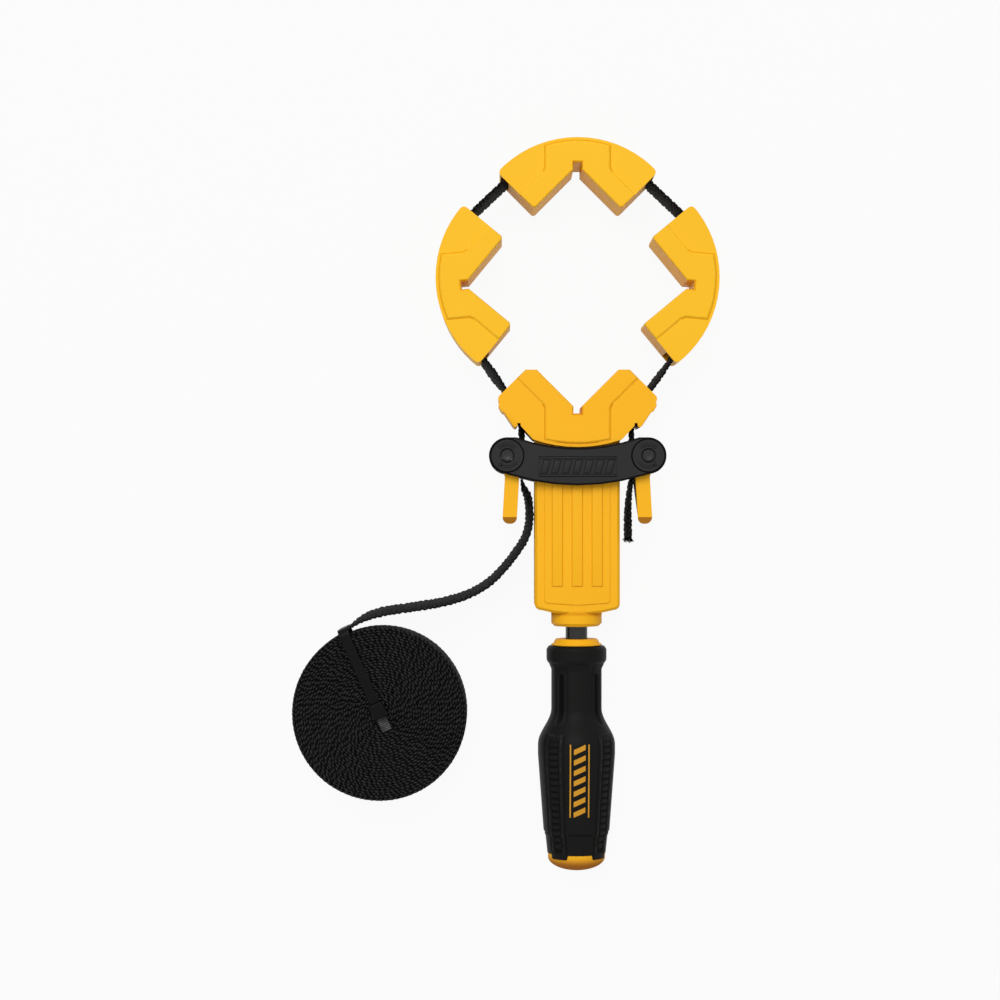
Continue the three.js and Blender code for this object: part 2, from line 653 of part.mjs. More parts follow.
function makeHead() {
  const whole = headBody();
  const far = length;
  const front = box(-far, far, -far, far, MID + FIT / 2, far);
  const rear = box(-far, far, -far, far, -far, MID - FIT / 2);
  place("head_front_shell", whole.intersect(front), YELLOW);
  place("head_rear_shell", whole.intersect(rear), YELLOW);
  for (const spot of screwPlaces) place(`shell_screw_${spot.name}`, shellScrew(spot, 0), STEEL);
  const washer = (y) => ringY(spindleRound + FIT, FLANGE_GIRTH / 2, y, y + WASHER_THICK);
  place("thrust_washer_lower", washer(thrustLow + FIT), STEEL);
  place("thrust_washer_upper", washer(flangeLow + FLANGE_THICK + FIT), STEEL);
  const bush = ringY(JOURNAL_GIRTH / 2 + FIT, BUSH_GIRTH / 2, cavityTop, cavityTop + BUSH_LENGTH);
  place("spindle_top_bush", bush, NYLON);
}

// Spindle: a flatted tang in the handle, a thrust flange, the screw and a journal at the top.
function spindleShape(gap) {
  const low = handleY - TANG_LENGTH - gap;
  const [r, journal] = [spindleRound + gap, JOURNAL_GIRTH / 2 + gap];
  const flangeHigh = flangeLow + FLANGE_THICK;
  const top = cavityTop + BUSH_LENGTH;
  const rod = turnedY([
    [0, low], [r, low], [r, flangeLow], [FLANGE_GIRTH / 2, flangeLow], [FLANGE_GIRTH / 2, flangeHigh],
    [r, flangeHigh], [r, hubTop], [journal, cavityTop], [journal, top], [0, top],
  ]);
  const flat = TANG_HALF + gap;
  const far = FLANGE_GIRTH;
  const shoulder = gripY - gap;
  const flats = [-1, 1].map((side) => {
    const [x0, x1] = side < 0 ? [-far, -flat] : [flat, far];
    return box(x0, x1, low - far, shoulder, MID - far, MID + far);
  });
  return cut(rod, ...flats);
}

// Grip profile: radius at a distance below the grip's upper end.
function gripRound(drop) {
  const stations = [
    [0, GRIP_FLANGE_GIRTH / 2 - GRIP_FLANGE_BREAK],
    [GRIP_FLANGE_BREAK, GRIP_FLANGE_GIRTH / 2],
    [GRIP_FLANGE_LENGTH, GRIP_FLANGE_GIRTH / 2],
    [GRIP_NECK_START, GRIP_NECK_GIRTH / 2],
    [GRIP_NECK_END, GRIP_NECK_GIRTH / 2],
    [GRIP_BELLY_START, GRIP_GIRTH / 2],
    [GRIP_BELLY_END, GRIP_GIRTH / 2],
    [GRIP_TAIL_START, GRIP_TAIL_GIRTH / 2],
    [GRIP_TAIL_START + GRIP_TAIL_STEP, GRIP_TAIL_GIRTH / 2 - GRIP_TAIL_STEP],
    [GRIP_LENGTH, GRIP_END_GIRTH / 2],
  ];
  const next = Math.max(1, stations.findIndex(([station]) => station >= drop));
  const [[d0, r0], [d1, r1]] = [stations[next - 1], stations[next]];
  const share = (drop - d0) / (d1 - d0);
  const swell = d0 === GRIP_NECK_END ? (1 - Math.cos(Math.PI * share)) / 2 : share;
  return r0 + (r1 - r0) * swell;
}

// Depth of the moulding at an angle: a flute at each corner of the neck, two sunk pads at each corner below.
function gripSink(drop, angle) {
  const corner = Math.abs((angle % 90) - 45);
  const onNeck = drop > GRIP_NECK_START && drop < GRIP_NECK_END;
  const onBelly = drop > GRIP_BELLY_START && drop < GRIP_TAIL_START;
  if (onNeck && corner < GRIP_FLUTE_HALF) return GRIP_FLUTE_DEPTH;
  if (onBelly && corner > GRIP_RIB_HALF && corner < GRIP_PAD_HALF) return GRIP_PAD_DEPTH;
  return 0;
}

function gripRing(drop, radiusAt) {
  return Array.from({ length: GRIP_SIDES }, (_, i) => {
    const angle = (360 * i) / GRIP_SIDES;
    const radius = radiusAt(angle);
    return [radius * Math.sin(rad(angle)), gripY - drop, MID + radius * Math.cos(rad(angle))];
  });
}

function handleGrip() {
  const swell = (share) => GRIP_NECK_END + (GRIP_BELLY_START - GRIP_NECK_END) * share;
  const drops = [
    0, GRIP_FLANGE_BREAK, GRIP_FLANGE_LENGTH, GRIP_NECK_START, GRIP_NECK_START + GRIP_FEATHER,
    GRIP_NECK_END - GRIP_FEATHER, GRIP_NECK_END, swell(1 / 6), swell(1 / 3), swell(1 / 2), swell(2 / 3),
    swell(5 / 6), GRIP_BELLY_START, GRIP_BELLY_START + GRIP_FEATHER, GRIP_BELLY_END,
    (GRIP_BELLY_END + GRIP_TAIL_START) / 2, GRIP_TAIL_START - GRIP_FEATHER, GRIP_TAIL_START,
    GRIP_TAIL_START + GRIP_TAIL_STEP, GRIP_LENGTH,
  ];
  const outside = drops.map((drop) => gripRing(drop, (angle) => gripRound(drop) - gripSink(drop, angle)));
  const bore = () => CORE_GIRTH / 2 + FIT;
  return skin([...outside.reverse(), gripRing(0, bore), gripRing(GRIP_LENGTH, bore)]);
}

function handleCore() {
  const grip = gripY - GRIP_LENGTH;
  const [butt, core, bolster] = [BUTT_GIRTH / 2, CORE_GIRTH / 2, BOLSTER_GIRTH / 2];
  const dome = arcPoints([0, 0], 1, -90, 0).map(([x, y]) => [butt * x, buttY + BUTT_DOME * (1 + y)]);
  const shape = turnedY([
    [0, buttY],
    ...dome.slice(1),
    [butt, grip - FIT], [core, grip - FIT], [core, gripY + FIT], [bolster, gripY + FIT],
    [bolster, gripY + BOLSTER_LIP], [bolster - BOLSTER_LIP, gripY + BOLSTER_LIP],
    [BOLSTER_TOP_GIRTH / 2, handleY], [0, handleY],
  ]);
  return cut(shape, spindleShape(FIT));
}

function makeHandle() {
  place("spindle", spindleShape(0), OXIDE);
  place("handle_core", handleCore(), YELLOW);
  place("handle_grip", handleGrip(), RUBBER);
}

// Bridge plate outline: a round end about each pivot, a hollow upper edge and a full lower edge.
function plateOutline() {
  const topX = Math.sqrt(PLATE_TOP_ROUND ** 2 - (PLATE_TOP_ROUND + PLATE_TOP_RISE - PLATE_END) ** 2);
  const topSweep = deg(Math.asin(topX / PLATE_TOP_ROUND));
  const footSweep = deg(Math.asin((pivotX - PLATE_END / 4) / PLATE_FOOT_ROUND));
  const topCentreY = pivotY + PLATE_TOP_RISE + PLATE_TOP_ROUND;
  const footCentreY = pivotY - PLATE_FOOT_DROP + PLATE_FOOT_ROUND;
  return [
    ...arcPoints([pivotX, pivotY], PLATE_END, -PLATE_SWEEP, 90),
    ...arcPoints([0, topCentreY], PLATE_TOP_ROUND, 270 + topSweep, 270 - topSweep),
    ...arcPoints([-pivotX, pivotY], PLATE_END, 90, 180 + PLATE_SWEEP),
    ...arcPoints([0, footCentreY], PLATE_FOOT_ROUND, 270 - footSweep, 270 + footSweep),
  ];
}

const anvilMid = (anvilIn + anvilOut) / 2;

// Tenon at one end of an anvil, or its mortise in the plate when a gap is given.
function tenon(side, face, gap) {
  const [wide, tall] = [TENON_WIDTH / 2 + gap, TENON_HEIGHT / 2 + gap];
  const inner = MID + face * (channelHalf - 2 * FIT);
  const outer = MID + face * (channelHalf + TENON_LENGTH + gap);
  const x = side * anvilMid;
  const levels = [inner, outer].sort((a, b) => a - b);
  return box(x - wide, x + wide, yokeY - tall, yokeY + tall, ...levels);
}

const pinTop = frontFace + BOSS_HEIGHT + PIN_PROUD;
const pinSeat = pinTop - PIN_HEAD_HEIGHT;

function frontPlate() {
  const plate = prism(plateOutline(), MID + channelHalf, frontFace, PLATE_BREAK);
  const bosses = [];
  const cuts = [tenon(-1, 1, FIT), tenon(1, 1, FIT)];
  for (const x of [-pivotX, pivotX]) {
    const levels = [frontFace - PLATE_BREAK, frontFace + BOSS_HEIGHT];
    bosses.push(rodZ(BOSS_GIRTH / 2, ...levels, x, pivotY, ROUND_SIDES));
    cuts.push(rodZ(PIN_GIRTH / 2 + FIT, MID, pinTop, x, pivotY));
    cuts.push(rodZ(PIN_HEAD / 2 + FIT, pinSeat - FIT, pinTop, x, pivotY));
  }
  const [half, tall] = [NAME_WIDTH / 2, NAME_HEIGHT / 2];
  cuts.push(box(-half, half, yokeY - tall, yokeY + tall, frontFace - NAME_DEPTH, pinTop));
  return cut(join(plate, ...bosses), ...cuts);
}

const clipHigh = CLIP_SINK + CLIP_THICK;

function rearPlate() {
  const cuts = [tenon(-1, -1, FIT), tenon(1, -1, FIT)];
  for (const x of [-pivotX, pivotX]) {
    cuts.push(rodZ(PIN_GIRTH / 2 + FIT, -SLIDE, MID, x, pivotY));
    cuts.push(rodZ(CLIP_GIRTH / 2 + FIT, -SLIDE, clipHigh + FIT, x, pivotY));
  }
  return cut(prism(plateOutline(), 0, MID - channelHalf, PLATE_BREAK), ...cuts);
}

// Anvil: a block beside the barrel with teeth towards the strap.
function anvil(side) {
  const outer = [];
  for (let i = 0; i < ANVIL_TEETH; i += 1) {
    const y = lockFoot + i * TOOTH_PITCH;
    outer.push([anvilOut, y], [anvilOut - TOOTH_DEPTH, y + TOOTH_PITCH / 2]);
  }
  const top = pivotY + ANVIL_RISE;
  const points = [[anvilIn, lockFoot], ...outer, [anvilOut, top], [anvilIn, top]];
  return prism(points.map(([x, y]) => [side * x, y]), MID - channelHalf + FIT, MID + channelHalf - FIT);
}

const nutLow = yokeY - HUB_LENGTH / 2 + HUB_FLOOR;

function yoke() {
  const [tall, deep] = [BEAM_HEIGHT / 2, BEAM_DEPTH / 2];
  const hubDeep = cavityHalf - SLIDE;
  const beam = box(-anvilMid, anvilMid, yokeY - tall, yokeY + tall, MID - deep, MID + deep);
  const hub = box(-HUB_HALF, HUB_HALF, yokeY - HUB_LENGTH / 2, hubTop, MID - hubDeep, MID + hubDeep);
  const tenons = [-1, 1].flatMap((side) => [tenon(side, -1, 0), tenon(side, 1, 0)]);
  const half = NUT_SIZE / 2 + FIT;
  const pocket = box(-half, half, nutLow, hubTop + SLIDE, MID - half, MID + half);
  const bore = rodY(spindleRound + SLIDE, nutLow - HUB_LENGTH, hubTop + SLIDE);
  return cut(join(beam, hub, anvil(-1), anvil(1), ...tenons), pocket, bore);
}

function travelNut() {
  const half = NUT_SIZE / 2;
  const low = nutLow + FIT;
  const block = box(-half, half, low, low + NUT_LENGTH, MID - half, MID + half);
  return cut(block, rodY(spindleRound + FIT, low - SLIDE, low + NUT_LENGTH + SLIDE));
}

function pivotPin(x) {
  const [shank, head] = [PIN_GIRTH / 2, PIN_HEAD / 2];
  const stem = [[0, FIT], [shank, FIT], [shank, pinSeat]];
  const cap = [[head, pinSeat], [head, pinTop - FIT], [head - FIT, pinTop], [0, pinTop]];
  return turnedZ([...stem, ...cap], x, pivotY);
}

function makeBridge() {
  place("bridge_front_plate", frontPlate(), BLACK);
  place("bridge_rear_plate", rearPlate(), BLACK);
  place("yoke", yoke(), BLACK);
  place("travel_nut", travelNut(), BRASS);
  for (const [name, x] of [["left", -pivotX], ["right", pivotX]]) {
    place(`pivot_pin_${name}`, pivotPin(x), OXIDE);
    const clip = ringZ(PIN_GIRTH / 2 + FIT, CLIP_GIRTH / 2, CLIP_SINK, clipHigh, x, pivotY);
    place(`pin_clip_${name}`, clip, STEEL);
  }
}

// Cam radius at an angle above the strap's side: it falls as the lever swings open.
const camAt = (angle) => Math.max(CAM_BACK, CAM_ROUND - (CAM_FALL * angle) / CAM_SWING);

// Lever outline about its pivot, with the strap on its +X side: toothed cam, plain back, thumb arm.
function leverOutline() {
  const inner = CAM_ROUND - FIT;
  const outer = inner - LEVER_WIDTH;
  const tip = LEVER_ROUND - LEVER_LENGTH;
  const [back, front] = [outer - LEVER_LEAN + LEVER_ROUND, inner - LEVER_LEAN - LEVER_ROUND];
  const cam = [];
  for (let angle = CAM_FROM; angle <= CAM_TO; angle += CAM_STEP) {
    const toothed = angle > CAM_TEETH_FROM && angle < CAM_TEETH_TO && angle % (2 * CAM_STEP) !== 0;
    const radius = camAt(angle) - (toothed ? CAM_TOOTH : 0);
    cam.push([radius * Math.cos(rad(angle)), radius * Math.sin(rad(angle))]);
  }
  return [
    ...cam,
    [outer, -LEVER_ROOT],
    ...arcPoints([back, tip], LEVER_ROUND, 180, 270, CORNER_STEP),
    ...arcPoints([front, tip], LEVER_ROUND, 270, 360, CORNER_STEP),
    [inner, -LEVER_ROOT],
  ];
}

// An outline of [y, z] points drawn out along X.
function prismX(points, x0, x1) {
  const shape = new THREE.Shape(points.map(([y, z]) => new THREE.Vector2(y, z)));
  const geometry = new THREE.ExtrudeGeometry(shape, { depth: x1 - x0, bevelEnabled: false });
  return geometry.rotateX(Math.PI / 2).rotateZ(Math.PI / 2).translate(x0, 0, 0);
}

function lockLever(side) {
  const half = channelHalf - FIT;
  const toPivot = ([x, y]) => [side * (pivotX - x), pivotY + y];
  const body = prism(leverOutline().map(toPivot), MID - half, MID + half);
  const tip = pivotY - LEVER_LENGTH;
  const corner = [
    [tip + LEVER_BREAK + SLIDE, half + SLIDE],
    [tip - SLIDE, half + SLIDE],
    [tip - SLIDE, half - LEVER_BREAK - SLIDE],
  ];
  const wedges = [-1, 1].map((face) => {
    const points = corner.map(([y, z]) => [y, MID + face * z]);
    return solid(prismX(points, -PIVOT_SPAN, PIVOT_SPAN));
  });
  return cut(body, ...wedges, rodZ(PIN_GIRTH / 2 + FIT, 0, frontFace, side * pivotX, pivotY));
}

function makeLevers() {
  place("lock_lever_left", lockLever(-1), YELLOW);
  place("lock_lever_right", lockLever(1), YELLOW);
}

function makeJaws() {
  const geometry = geometryOf(looseJaw());
  const turn = Math.PI / 2 + tilt;
  const spots = [
    { name: "top_jaw", x: 0, y: topY, angle: 0 },
    { name: "left_jaw", x: -SIDE_REACH, y: sideY, angle: turn },
    { name: "right_jaw", x: SIDE_REACH, y: sideY, angle: -turn },
  ];
  for (const { name, x, y, angle } of spots) {
    const jaw = place(name, geometry, YELLOW);
    jaw.position.set(x, y, 0);
    jaw.rotation.z = angle;
  }
}

// Strap stretches: over the far jaw, over each side jaw, and out of each head arm through its lock.
function makeStraps() {
  const left = sideStrap();
  place("strap_top", band(onEdge(topStrap())), WEBBING);
  place("strap_left", band(onEdge(left)), WEBBING);
  place("strap_right", band(onEdge(mirrored(left))), WEBBING);
  place("strap_lock_left", band(onEdge([[-strapX, lockTop], [-strapX, lockFoot]])), WEBBING);
  const tail = [
    [strapX, lockTop],
    [strapX, lockFoot],
    [strapX - TAIL_LEAN / 2, lockFoot - TAIL_LENGTH / 6],
    [strapX - TAIL_LEAN, lockFoot - TAIL_LENGTH / 2],
    [strapX - TAIL_LEAN, lockFoot - TAIL_LENGTH],
  ];
  place("strap_lock_right", band(onEdge(tail)), WEBBING);
}

// Coil: one flat spiral of webbing on edge, wound inwards.
function coilRoute() {
  const outer = (COIL_GIRTH - STRAP_THICK) / 2;
  return Array.from({ length: COIL_TURNS * COIL_STEPS + 1 }, (_, i) => {
    const angle = rad(COIL_START + (360 * i) / COIL_STEPS);
    const radius = outer - (COIL_PITCH * i) / COIL_STEPS;
    return [COIL_X + radius * Math.cos(angle), COIL_Y + radius * Math.sin(angle), coilMid];
  });
}

// Least distance between the faces of neighbouring loops, from each point to the chords one loop on.
function leastGap(route) {
  let least = Infinity;
  for (let i = 0; i + COIL_STEPS + 1 < route.length; i += 1) {
    const [px, py] = route[i];
    for (let j = i + COIL_STEPS - 1; j <= i + COIL_STEPS; j += 1) {
      const [[ax, ay], [bx, by]] = [route[j], route[j + 1]];
      const [dx, dy] = [bx - ax, by - ay];
      const share = ((px - ax) * dx + (py - ay) * dy) / (dx * dx + dy * dy);
      const held = Math.min(1, Math.max(0, share));
      least = Math.min(least, Math.hypot(px - ax - held * dx, py - ay - held * dy));
    }
  }
  return least - STRAP_THICK;
}

// Free run: a smooth line through its route, sinking from the lock's level to the coil's.
function runRoute([coilX, coilY], [nextX, nextY]) {
  const span = Math.hypot(nextX - coilX, nextY - coilY);
  const into = [(nextX - coilX) / span, (nextY - coilY) / span];
  const points = [[-strapX, lockFoot - FIT], ...RUN_ROUTE, along([coilX, coilY], into, -FIT)];
  const knots = points.map(([x, y]) => new THREE.Vector3(x, y, 0));
  const line = new THREE.CatmullRomCurve3(knots, false, "centripetal");
  const level = (i) => MID + ((coilMid - MID) * i) / RUN_STEPS;
  return line.getSpacedPoints(RUN_STEPS).map(({ x, y }, i) => [x, y, level(i)]);
}

// Tie: a loop through the coil's hub and round its rim, with its head and cut stub on top of the coil.
function coilTie() {
  const [low, high] = [coilLow - FIT, coilHigh + FIT];
  const outer = COIL_GIRTH / 2 + TIE_SLACK;
  const frame = (r0, r1, z0, z1) => [[r0, z0], [r1, z0], [r1, z1], [r0, z1]];
  const half = TIE_WIDTH / 2;
  const ring = cut(
    solid(prismX(frame(TIE_HUB, outer + TIE_THICK, low - TIE_THICK, high + TIE_THICK), -half, half)),
    solid(prismX(frame(TIE_HUB + TIE_THICK, outer, low, high), -TIE_WIDTH, TIE_WIDTH)),
  );
  const reach = TIE_HEAD_LENGTH / 2;
  const wide = TIE_HEAD_WIDTH / 2;
  const head = box(-wide, wide, TIE_HUB - reach, TIE_HUB + reach, high, high + TIE_HEAD_HEIGHT);
  const stub = box(-half, half, -TIE_STUB, TIE_HUB, high, high + TIE_THICK);
  return join(ring, head, stub);
}

function makeFreeStrap() {
  const coil = coilRoute();
  console.log(`coil least gap ${leastGap(coil).toFixed(3)} mm over ${COIL_TURNS} loops`);
  place("strap_run", band(runRoute(coil[0], coil[1])), WEBBING);
  place("strap_coil", band(coil), WEBBING);
  const tie = place("coil_tie", coilTie(), BLACK);
  tie.position.set(COIL_X, COIL_Y, 0);
  tie.rotation.z = rad(TIE_ANGLE - 90);
}

makeJaws();
makeHead();
makeHandle();
makeBridge();
makeLevers();
makeStraps();
makeFreeStrap();

export default clamp;
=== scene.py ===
"""Looks of the band clamp: its webbing, mouldings, grip and metalwork, laid over the clamp's solids.

The clamp lies on its back. +Y runs from the handle to the far jaw and +Z is up. Sizes are in
millimetres, and a piece becomes metres when it is finished.
"""

import logging
import math
from collections.abc import Callable, Iterable, Sequence
from dataclasses import dataclass, replace
from enum import Enum

import bmesh
import bpy
from bmesh.types import BMEdge, BMesh, BMLoop, BMVert
from bpy.types import Material, Node, NodeSocket, NodeTree, Object
from mathutils import Matrix, Vector


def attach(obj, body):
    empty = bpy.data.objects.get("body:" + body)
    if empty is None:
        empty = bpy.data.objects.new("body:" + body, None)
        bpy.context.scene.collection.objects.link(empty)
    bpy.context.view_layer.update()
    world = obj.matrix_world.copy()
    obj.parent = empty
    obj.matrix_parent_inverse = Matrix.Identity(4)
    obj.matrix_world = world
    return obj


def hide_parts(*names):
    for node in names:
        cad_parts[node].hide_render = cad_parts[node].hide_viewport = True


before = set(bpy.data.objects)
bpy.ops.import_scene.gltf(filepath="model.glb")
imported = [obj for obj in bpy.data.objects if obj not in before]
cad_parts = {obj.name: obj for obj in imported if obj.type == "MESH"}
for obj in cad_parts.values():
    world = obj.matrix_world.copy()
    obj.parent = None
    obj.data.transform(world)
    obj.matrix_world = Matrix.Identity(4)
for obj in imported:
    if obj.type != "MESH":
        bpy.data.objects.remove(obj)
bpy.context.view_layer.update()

LOG = logging.getLogger("band_clamp")
MM = 0.001
MID = 18.0
AXIS = (0.0, 1.0, 0.0)
UP = (0.0, 0.0, 1.0)
ORIGIN = (0.0, 0.0, 0.0)
TURN = math.tau
# Name of the marks attribute: above 0 on rounded edges, for wear with a painted highlight; below 0 for
# painted shade.
EDGE = "edge"
FOOT_SHADE = -1.2
WELD = 0.0005
SEAM = 0.001
SOLID_WELD = 0.002
FLAT_ANGLE = 0.6
BLOCK_ROUND = 0.3
FACE_WEIGHT = 60
SHARP_ANGLE = 60.0
FINE_CREASE = 30.0
SMALL_CREASE = 35.0
CORE_CREASE = 50.0
GRIP_CREASE = 60.0
CLOTH_CREASE = 70.0
Point = tuple[float, float]
Spot = tuple[float, float, float]
Line = tuple[Point, ...]
Colour = tuple[float, float, float, float]


class Body(Enum):
    """Moving bodies of the clamp."""

    HEAD = "head"
    HANDLE = "handle"
    BRIDGE = "bridge"
    LEFT_LEVER = "left_lever"
    RIGHT_LEVER = "right_lever"
    LEFT_CORNER = "left_corner"
    RIGHT_CORNER = "right_corner"
    TOP_CORNER = "top_corner"


class Slot(Enum):
    """Material slots of the clamp's record."""

    YELLOW = "yellow_plastic"
    BLACK = "black_plastic"
    RUBBER = "grip_rubber"
    WEBBING = "webbing"
    DARK_STEEL = "dark_steel"
    STEEL = "steel"
    BRASS = "brass"
    NYLON = "nylon"


class Side(Enum):
    """Left and right of the clamp, as the sign of X."""

    LEFT = -1
    RIGHT = 1


class Shader:
    """Adds, sets and links the nodes of one shader tree."""

    def __init__(self, tree: NodeTree) -> None:
        """Keeps the tree, emptied."""
        self.tree = tree
        tree.nodes.clear()

    def node(self, kind: str, **settings: object) -> Node:
        """Adds a node.

        Args:
            kind: Type of the node, without its common first word.
            settings: Attributes to set on the node.

        Returns:
            The new node.
        """
        made = self.tree.nodes.new("ShaderNode" + kind)
        for name, value in settings.items():
            setattr(made, name, value)
        return made

    def put(self, socket: NodeSocket, value: object) -> None:
        """Links an input, or sets it.

        Args:
            socket: Input to feed.
            value: Output socket to link, or value to set.
        """
        if isinstance(value, NodeSocket):
            self.tree.links.new(value, socket)
        else:
            socket.default_value = value

    def feed(self, node: Node, **values: object) -> Node:
        """Sets or links inputs of a node.

        Args:
            node: Node to feed.
            values: Value or output socket for each input, with _ for a space in the input's name.

        Returns:
            The same node.
        """
        for name, value in values.items():
            self.put(node.inputs[name.replace("_", " ")], value)
        return node

    def math(self, operation: str, *values: float | NodeSocket) -> NodeSocket:
        """Adds a math node.

        Args:
            operation: What the node works out.
            values: Numbers or sockets that it works on.

        Returns:
            The result.
        """
        made = self.node("Math", operation=operation)
        for socket, value in zip(made.inputs, values):
            self.put(socket, value)
        return made.outputs[0]

    def times(self, *values: float | NodeSocket) -> NodeSocket:
        """Multiplies two values."""
        return self.math("MULTIPLY", *values)

    def plus(self, *values: float | NodeSocket) -> NodeSocket:
        """Adds two values."""
        return self.math("ADD", *values)

    def blend(
        self, share: float | NodeSocket, low: Colour | NodeSocket, high: Colour | NodeSocket
    ) -> NodeSocket:
        """Mixes two colours.

        Args:
            share: Share of the second colour.
            low: First colour.
            high: Second colour.

        Returns:
            The mixed colour.
        """
        made = self.node("Mix", data_type="RGBA", clamp_factor=True)
        for index, value in ((0, share), (6, low), (7, high)):
            self.put(made.inputs[index], value)
        return made.outputs[2]

    def noise(self, place: NodeSocket, scale: float | NodeSocket, detail: float) -> NodeSocket:
        """Adds a noise texture.

        Args:
            place: Coordinates that it reads.
            scale: Waves for each unit of the coordinates.
            detail: Octaves of finer noise.

        Returns:
            The noise, from 0 to 1.
        """
        made = self.node("TexNoise")
        self.feed(made, Vector=place, Scale=scale, Detail=detail)
        return made.outputs[0]

    def ramp(self, value: NodeSocket, low: float, high: float) -> NodeSocket:
        """Spreads a range of a value over 0 to 1.

        Args:
            value: Value to spread.
            low: Value that gives 0.
            high: Value that gives 1.

        Returns:
            The result, held between 0 and 1.
        """
        made = self.node("MapRange", interpolation_type="SMOOTHSTEP")
        self.feed(made, Value=value, From_Min=low, From_Max=high)
        return made.outputs[0]

    def in_view(self) -> NodeSocket:
        """Tells the rays that show a surface to the viewer, straight, mirrored or passed through.

        Returns:
            1 for such a ray, and 0 for a ray that carries light.
        """
        ray = self.node("LightPath").outputs
        seen = self.math("MAXIMUM", ray["Is Camera Ray"], ray["Is Glossy Ray"])
        return self.math("MAXIMUM", seen, ray["Is Transmission Ray"])

    def edge_mark(self) -> NodeSocket:
        """Reads the marks of edges, for wear with painted highlights, and of painted shade."""
        return self.node("Attribute", attribute_name=EDGE).outputs["Fac"]


@dataclass(frozen=True)
class Effect:
    """A shader node group with named sockets, built once and used by several finishes."""

    name: str
    inputs: tuple[tuple[str, str], ...]
    outputs: tuple[str, ...]
    fill: Callable[[Shader, dict[str, NodeSocket]], dict[str, NodeSocket]]

    def tree(self) -> NodeTree:
        """Builds the group on its first use.

        Returns:
            The group's node tree.
        """
        known = bpy.data.node_groups.get(self.name)
        if known:
            return known
        made = bpy.data.node_groups.new(self.name, "ShaderNodeTree")
        for name, kind in self.inputs:
            made.interface.new_socket(name, in_out="INPUT", socket_type="NodeSocket" + kind)
        for name in self.outputs:
            made.interface.new_socket(name, in_out="OUTPUT", socket_type="NodeSocketFloat")
        shader = Shader(made)
        entry = made.nodes.new("NodeGroupInput")
        leave = made.nodes.new("NodeGroupOutput")
        found = self.fill(shader, {name: entry.outputs[name] for name, _ in self.inputs})
        for name in self.outputs:
            made.links.new(found[name], leave.inputs[name])
        return made

    def use(self, shader: Shader, **values: object) -> Node:
        """Places the group in a material, feeds it and returns its node."""
        return shader.feed(shader.node("Group", node_tree=self.tree()), **values)


def fill_grain(shader: Shader, given: dict[str, NodeSocket]) -> dict[str, NodeSocket]:
    """Fine spark-eroded grain of a mould, with slow changes of shade.

    Args:
        shader: Group's shader.
        given: Sockets Vector and Scale.

    Returns:
        Sockets Height and Shade.
    """
    fine = shader.noise(given["Vector"], given["Scale"], 2.0)
    coarse = shader.noise(given["Vector"], shader.times(given["Scale"], 0.32), 1.0)
    height = shader.plus(shader.times(fine, 0.65), shader.times(coarse, 0.35))
    slow = shader.noise(given["Vector"], shader.times(given["Scale"], 0.012), 3.0)
    return {"Height": height, "Shade": shader.ramp(slow, 0.3, 0.7)}


def fill_wear_and_painted_light(shader: Shader, given: dict[str, NodeSocket]) -> dict[str, NodeSocket]:
    """Rubbed edges, broken up by noise, which also paint highlights on edges, and painted shade in sunk
    places.

    Args:
        shader: Group's shader.
        given: Sockets Vector, Amount and Edge, which is above 0 on an edge and below 0 where shade is
            painted.

    Returns:
        Sockets Mask, for rubbed edges with painted highlights, and the socket of painted shade in sunk
        places.
    """
    edge = shader.ramp(given["Edge"], 0.1, 1.0)
    patch = shader.ramp(shader.noise(given["Vector"], 260.0, 4.0), 0.42, 0.68)
    rubbed = shader.times(shader.times(edge, patch), given["Amount"])
    return {"Mask": rubbed, "PaintedShade": shader.ramp(shader.times(given["Edge"], -1.0), 0.05, 1.0)}


def fill_dust(shader: Shader, given: dict[str, NodeSocket]) -> dict[str, NodeSocket]:
    """Thin dust that lies in small patches.

    Args:
        shader: Group's shader.
        given: Sockets Vector and Amount.

    Returns:
        Socket Mask.
    """
    cloud = shader.ramp(shader.noise(given["Vector"], 75.0, 5.0), 0.45, 0.75)
    specks = shader.ramp(shader.noise(given["Vector"], 1400.0, 1.0), 0.62, 0.74)
    both = shader.plus(shader.times(cloud, 0.6), shader.times(specks, 0.4))
    return {"Mask": shader.times(both, given["Amount"])}


def fill_weave(shader: Shader, given: dict[str, NodeSocket]) -> dict[str, NodeSocket]:
    """Woven yarns: rows of floats across the strap, each row half a float on from its neighbour.

    Args:
        shader: Group's shader.
        given: Sockets Vector, in millimetres along and across the strap, Float and Yarn.

    Returns:
        Sockets Height and Shade.
    """
    split = shader.feed(shader.node("SeparateXYZ"), Vector=given["Vector"])
    row = shader.math("DIVIDE", split.outputs["Y"], given["Yarn"])
    rank = shader.math("FLOOR", row)
    across = shader.math("SINE", shader.times(shader.math("FRACT", row), math.pi))
    slant = shader.times(shader.math("FRACT", row), 0.45)
    step = shader.plus(shader.times(rank, 0.5), slant)
    run = shader.plus(shader.math("DIVIDE", split.outputs["X"], given["Float"]), step)
    lift = shader.math("SINE", shader.times(shader.math("FRACT", run), math.pi))
    height = shader.math("POWER", shader.times(across, lift), 0.6)
    hair = shader.noise(given["Vector"], 2.6, 3.0)
    shade = shader.times(shader.ramp(height, 0.1, 0.95), shader.ramp(hair, 0.15, 0.75))
    return {"Height": shader.plus(height, shader.times(hair, 0.18)), "Shade": shade}


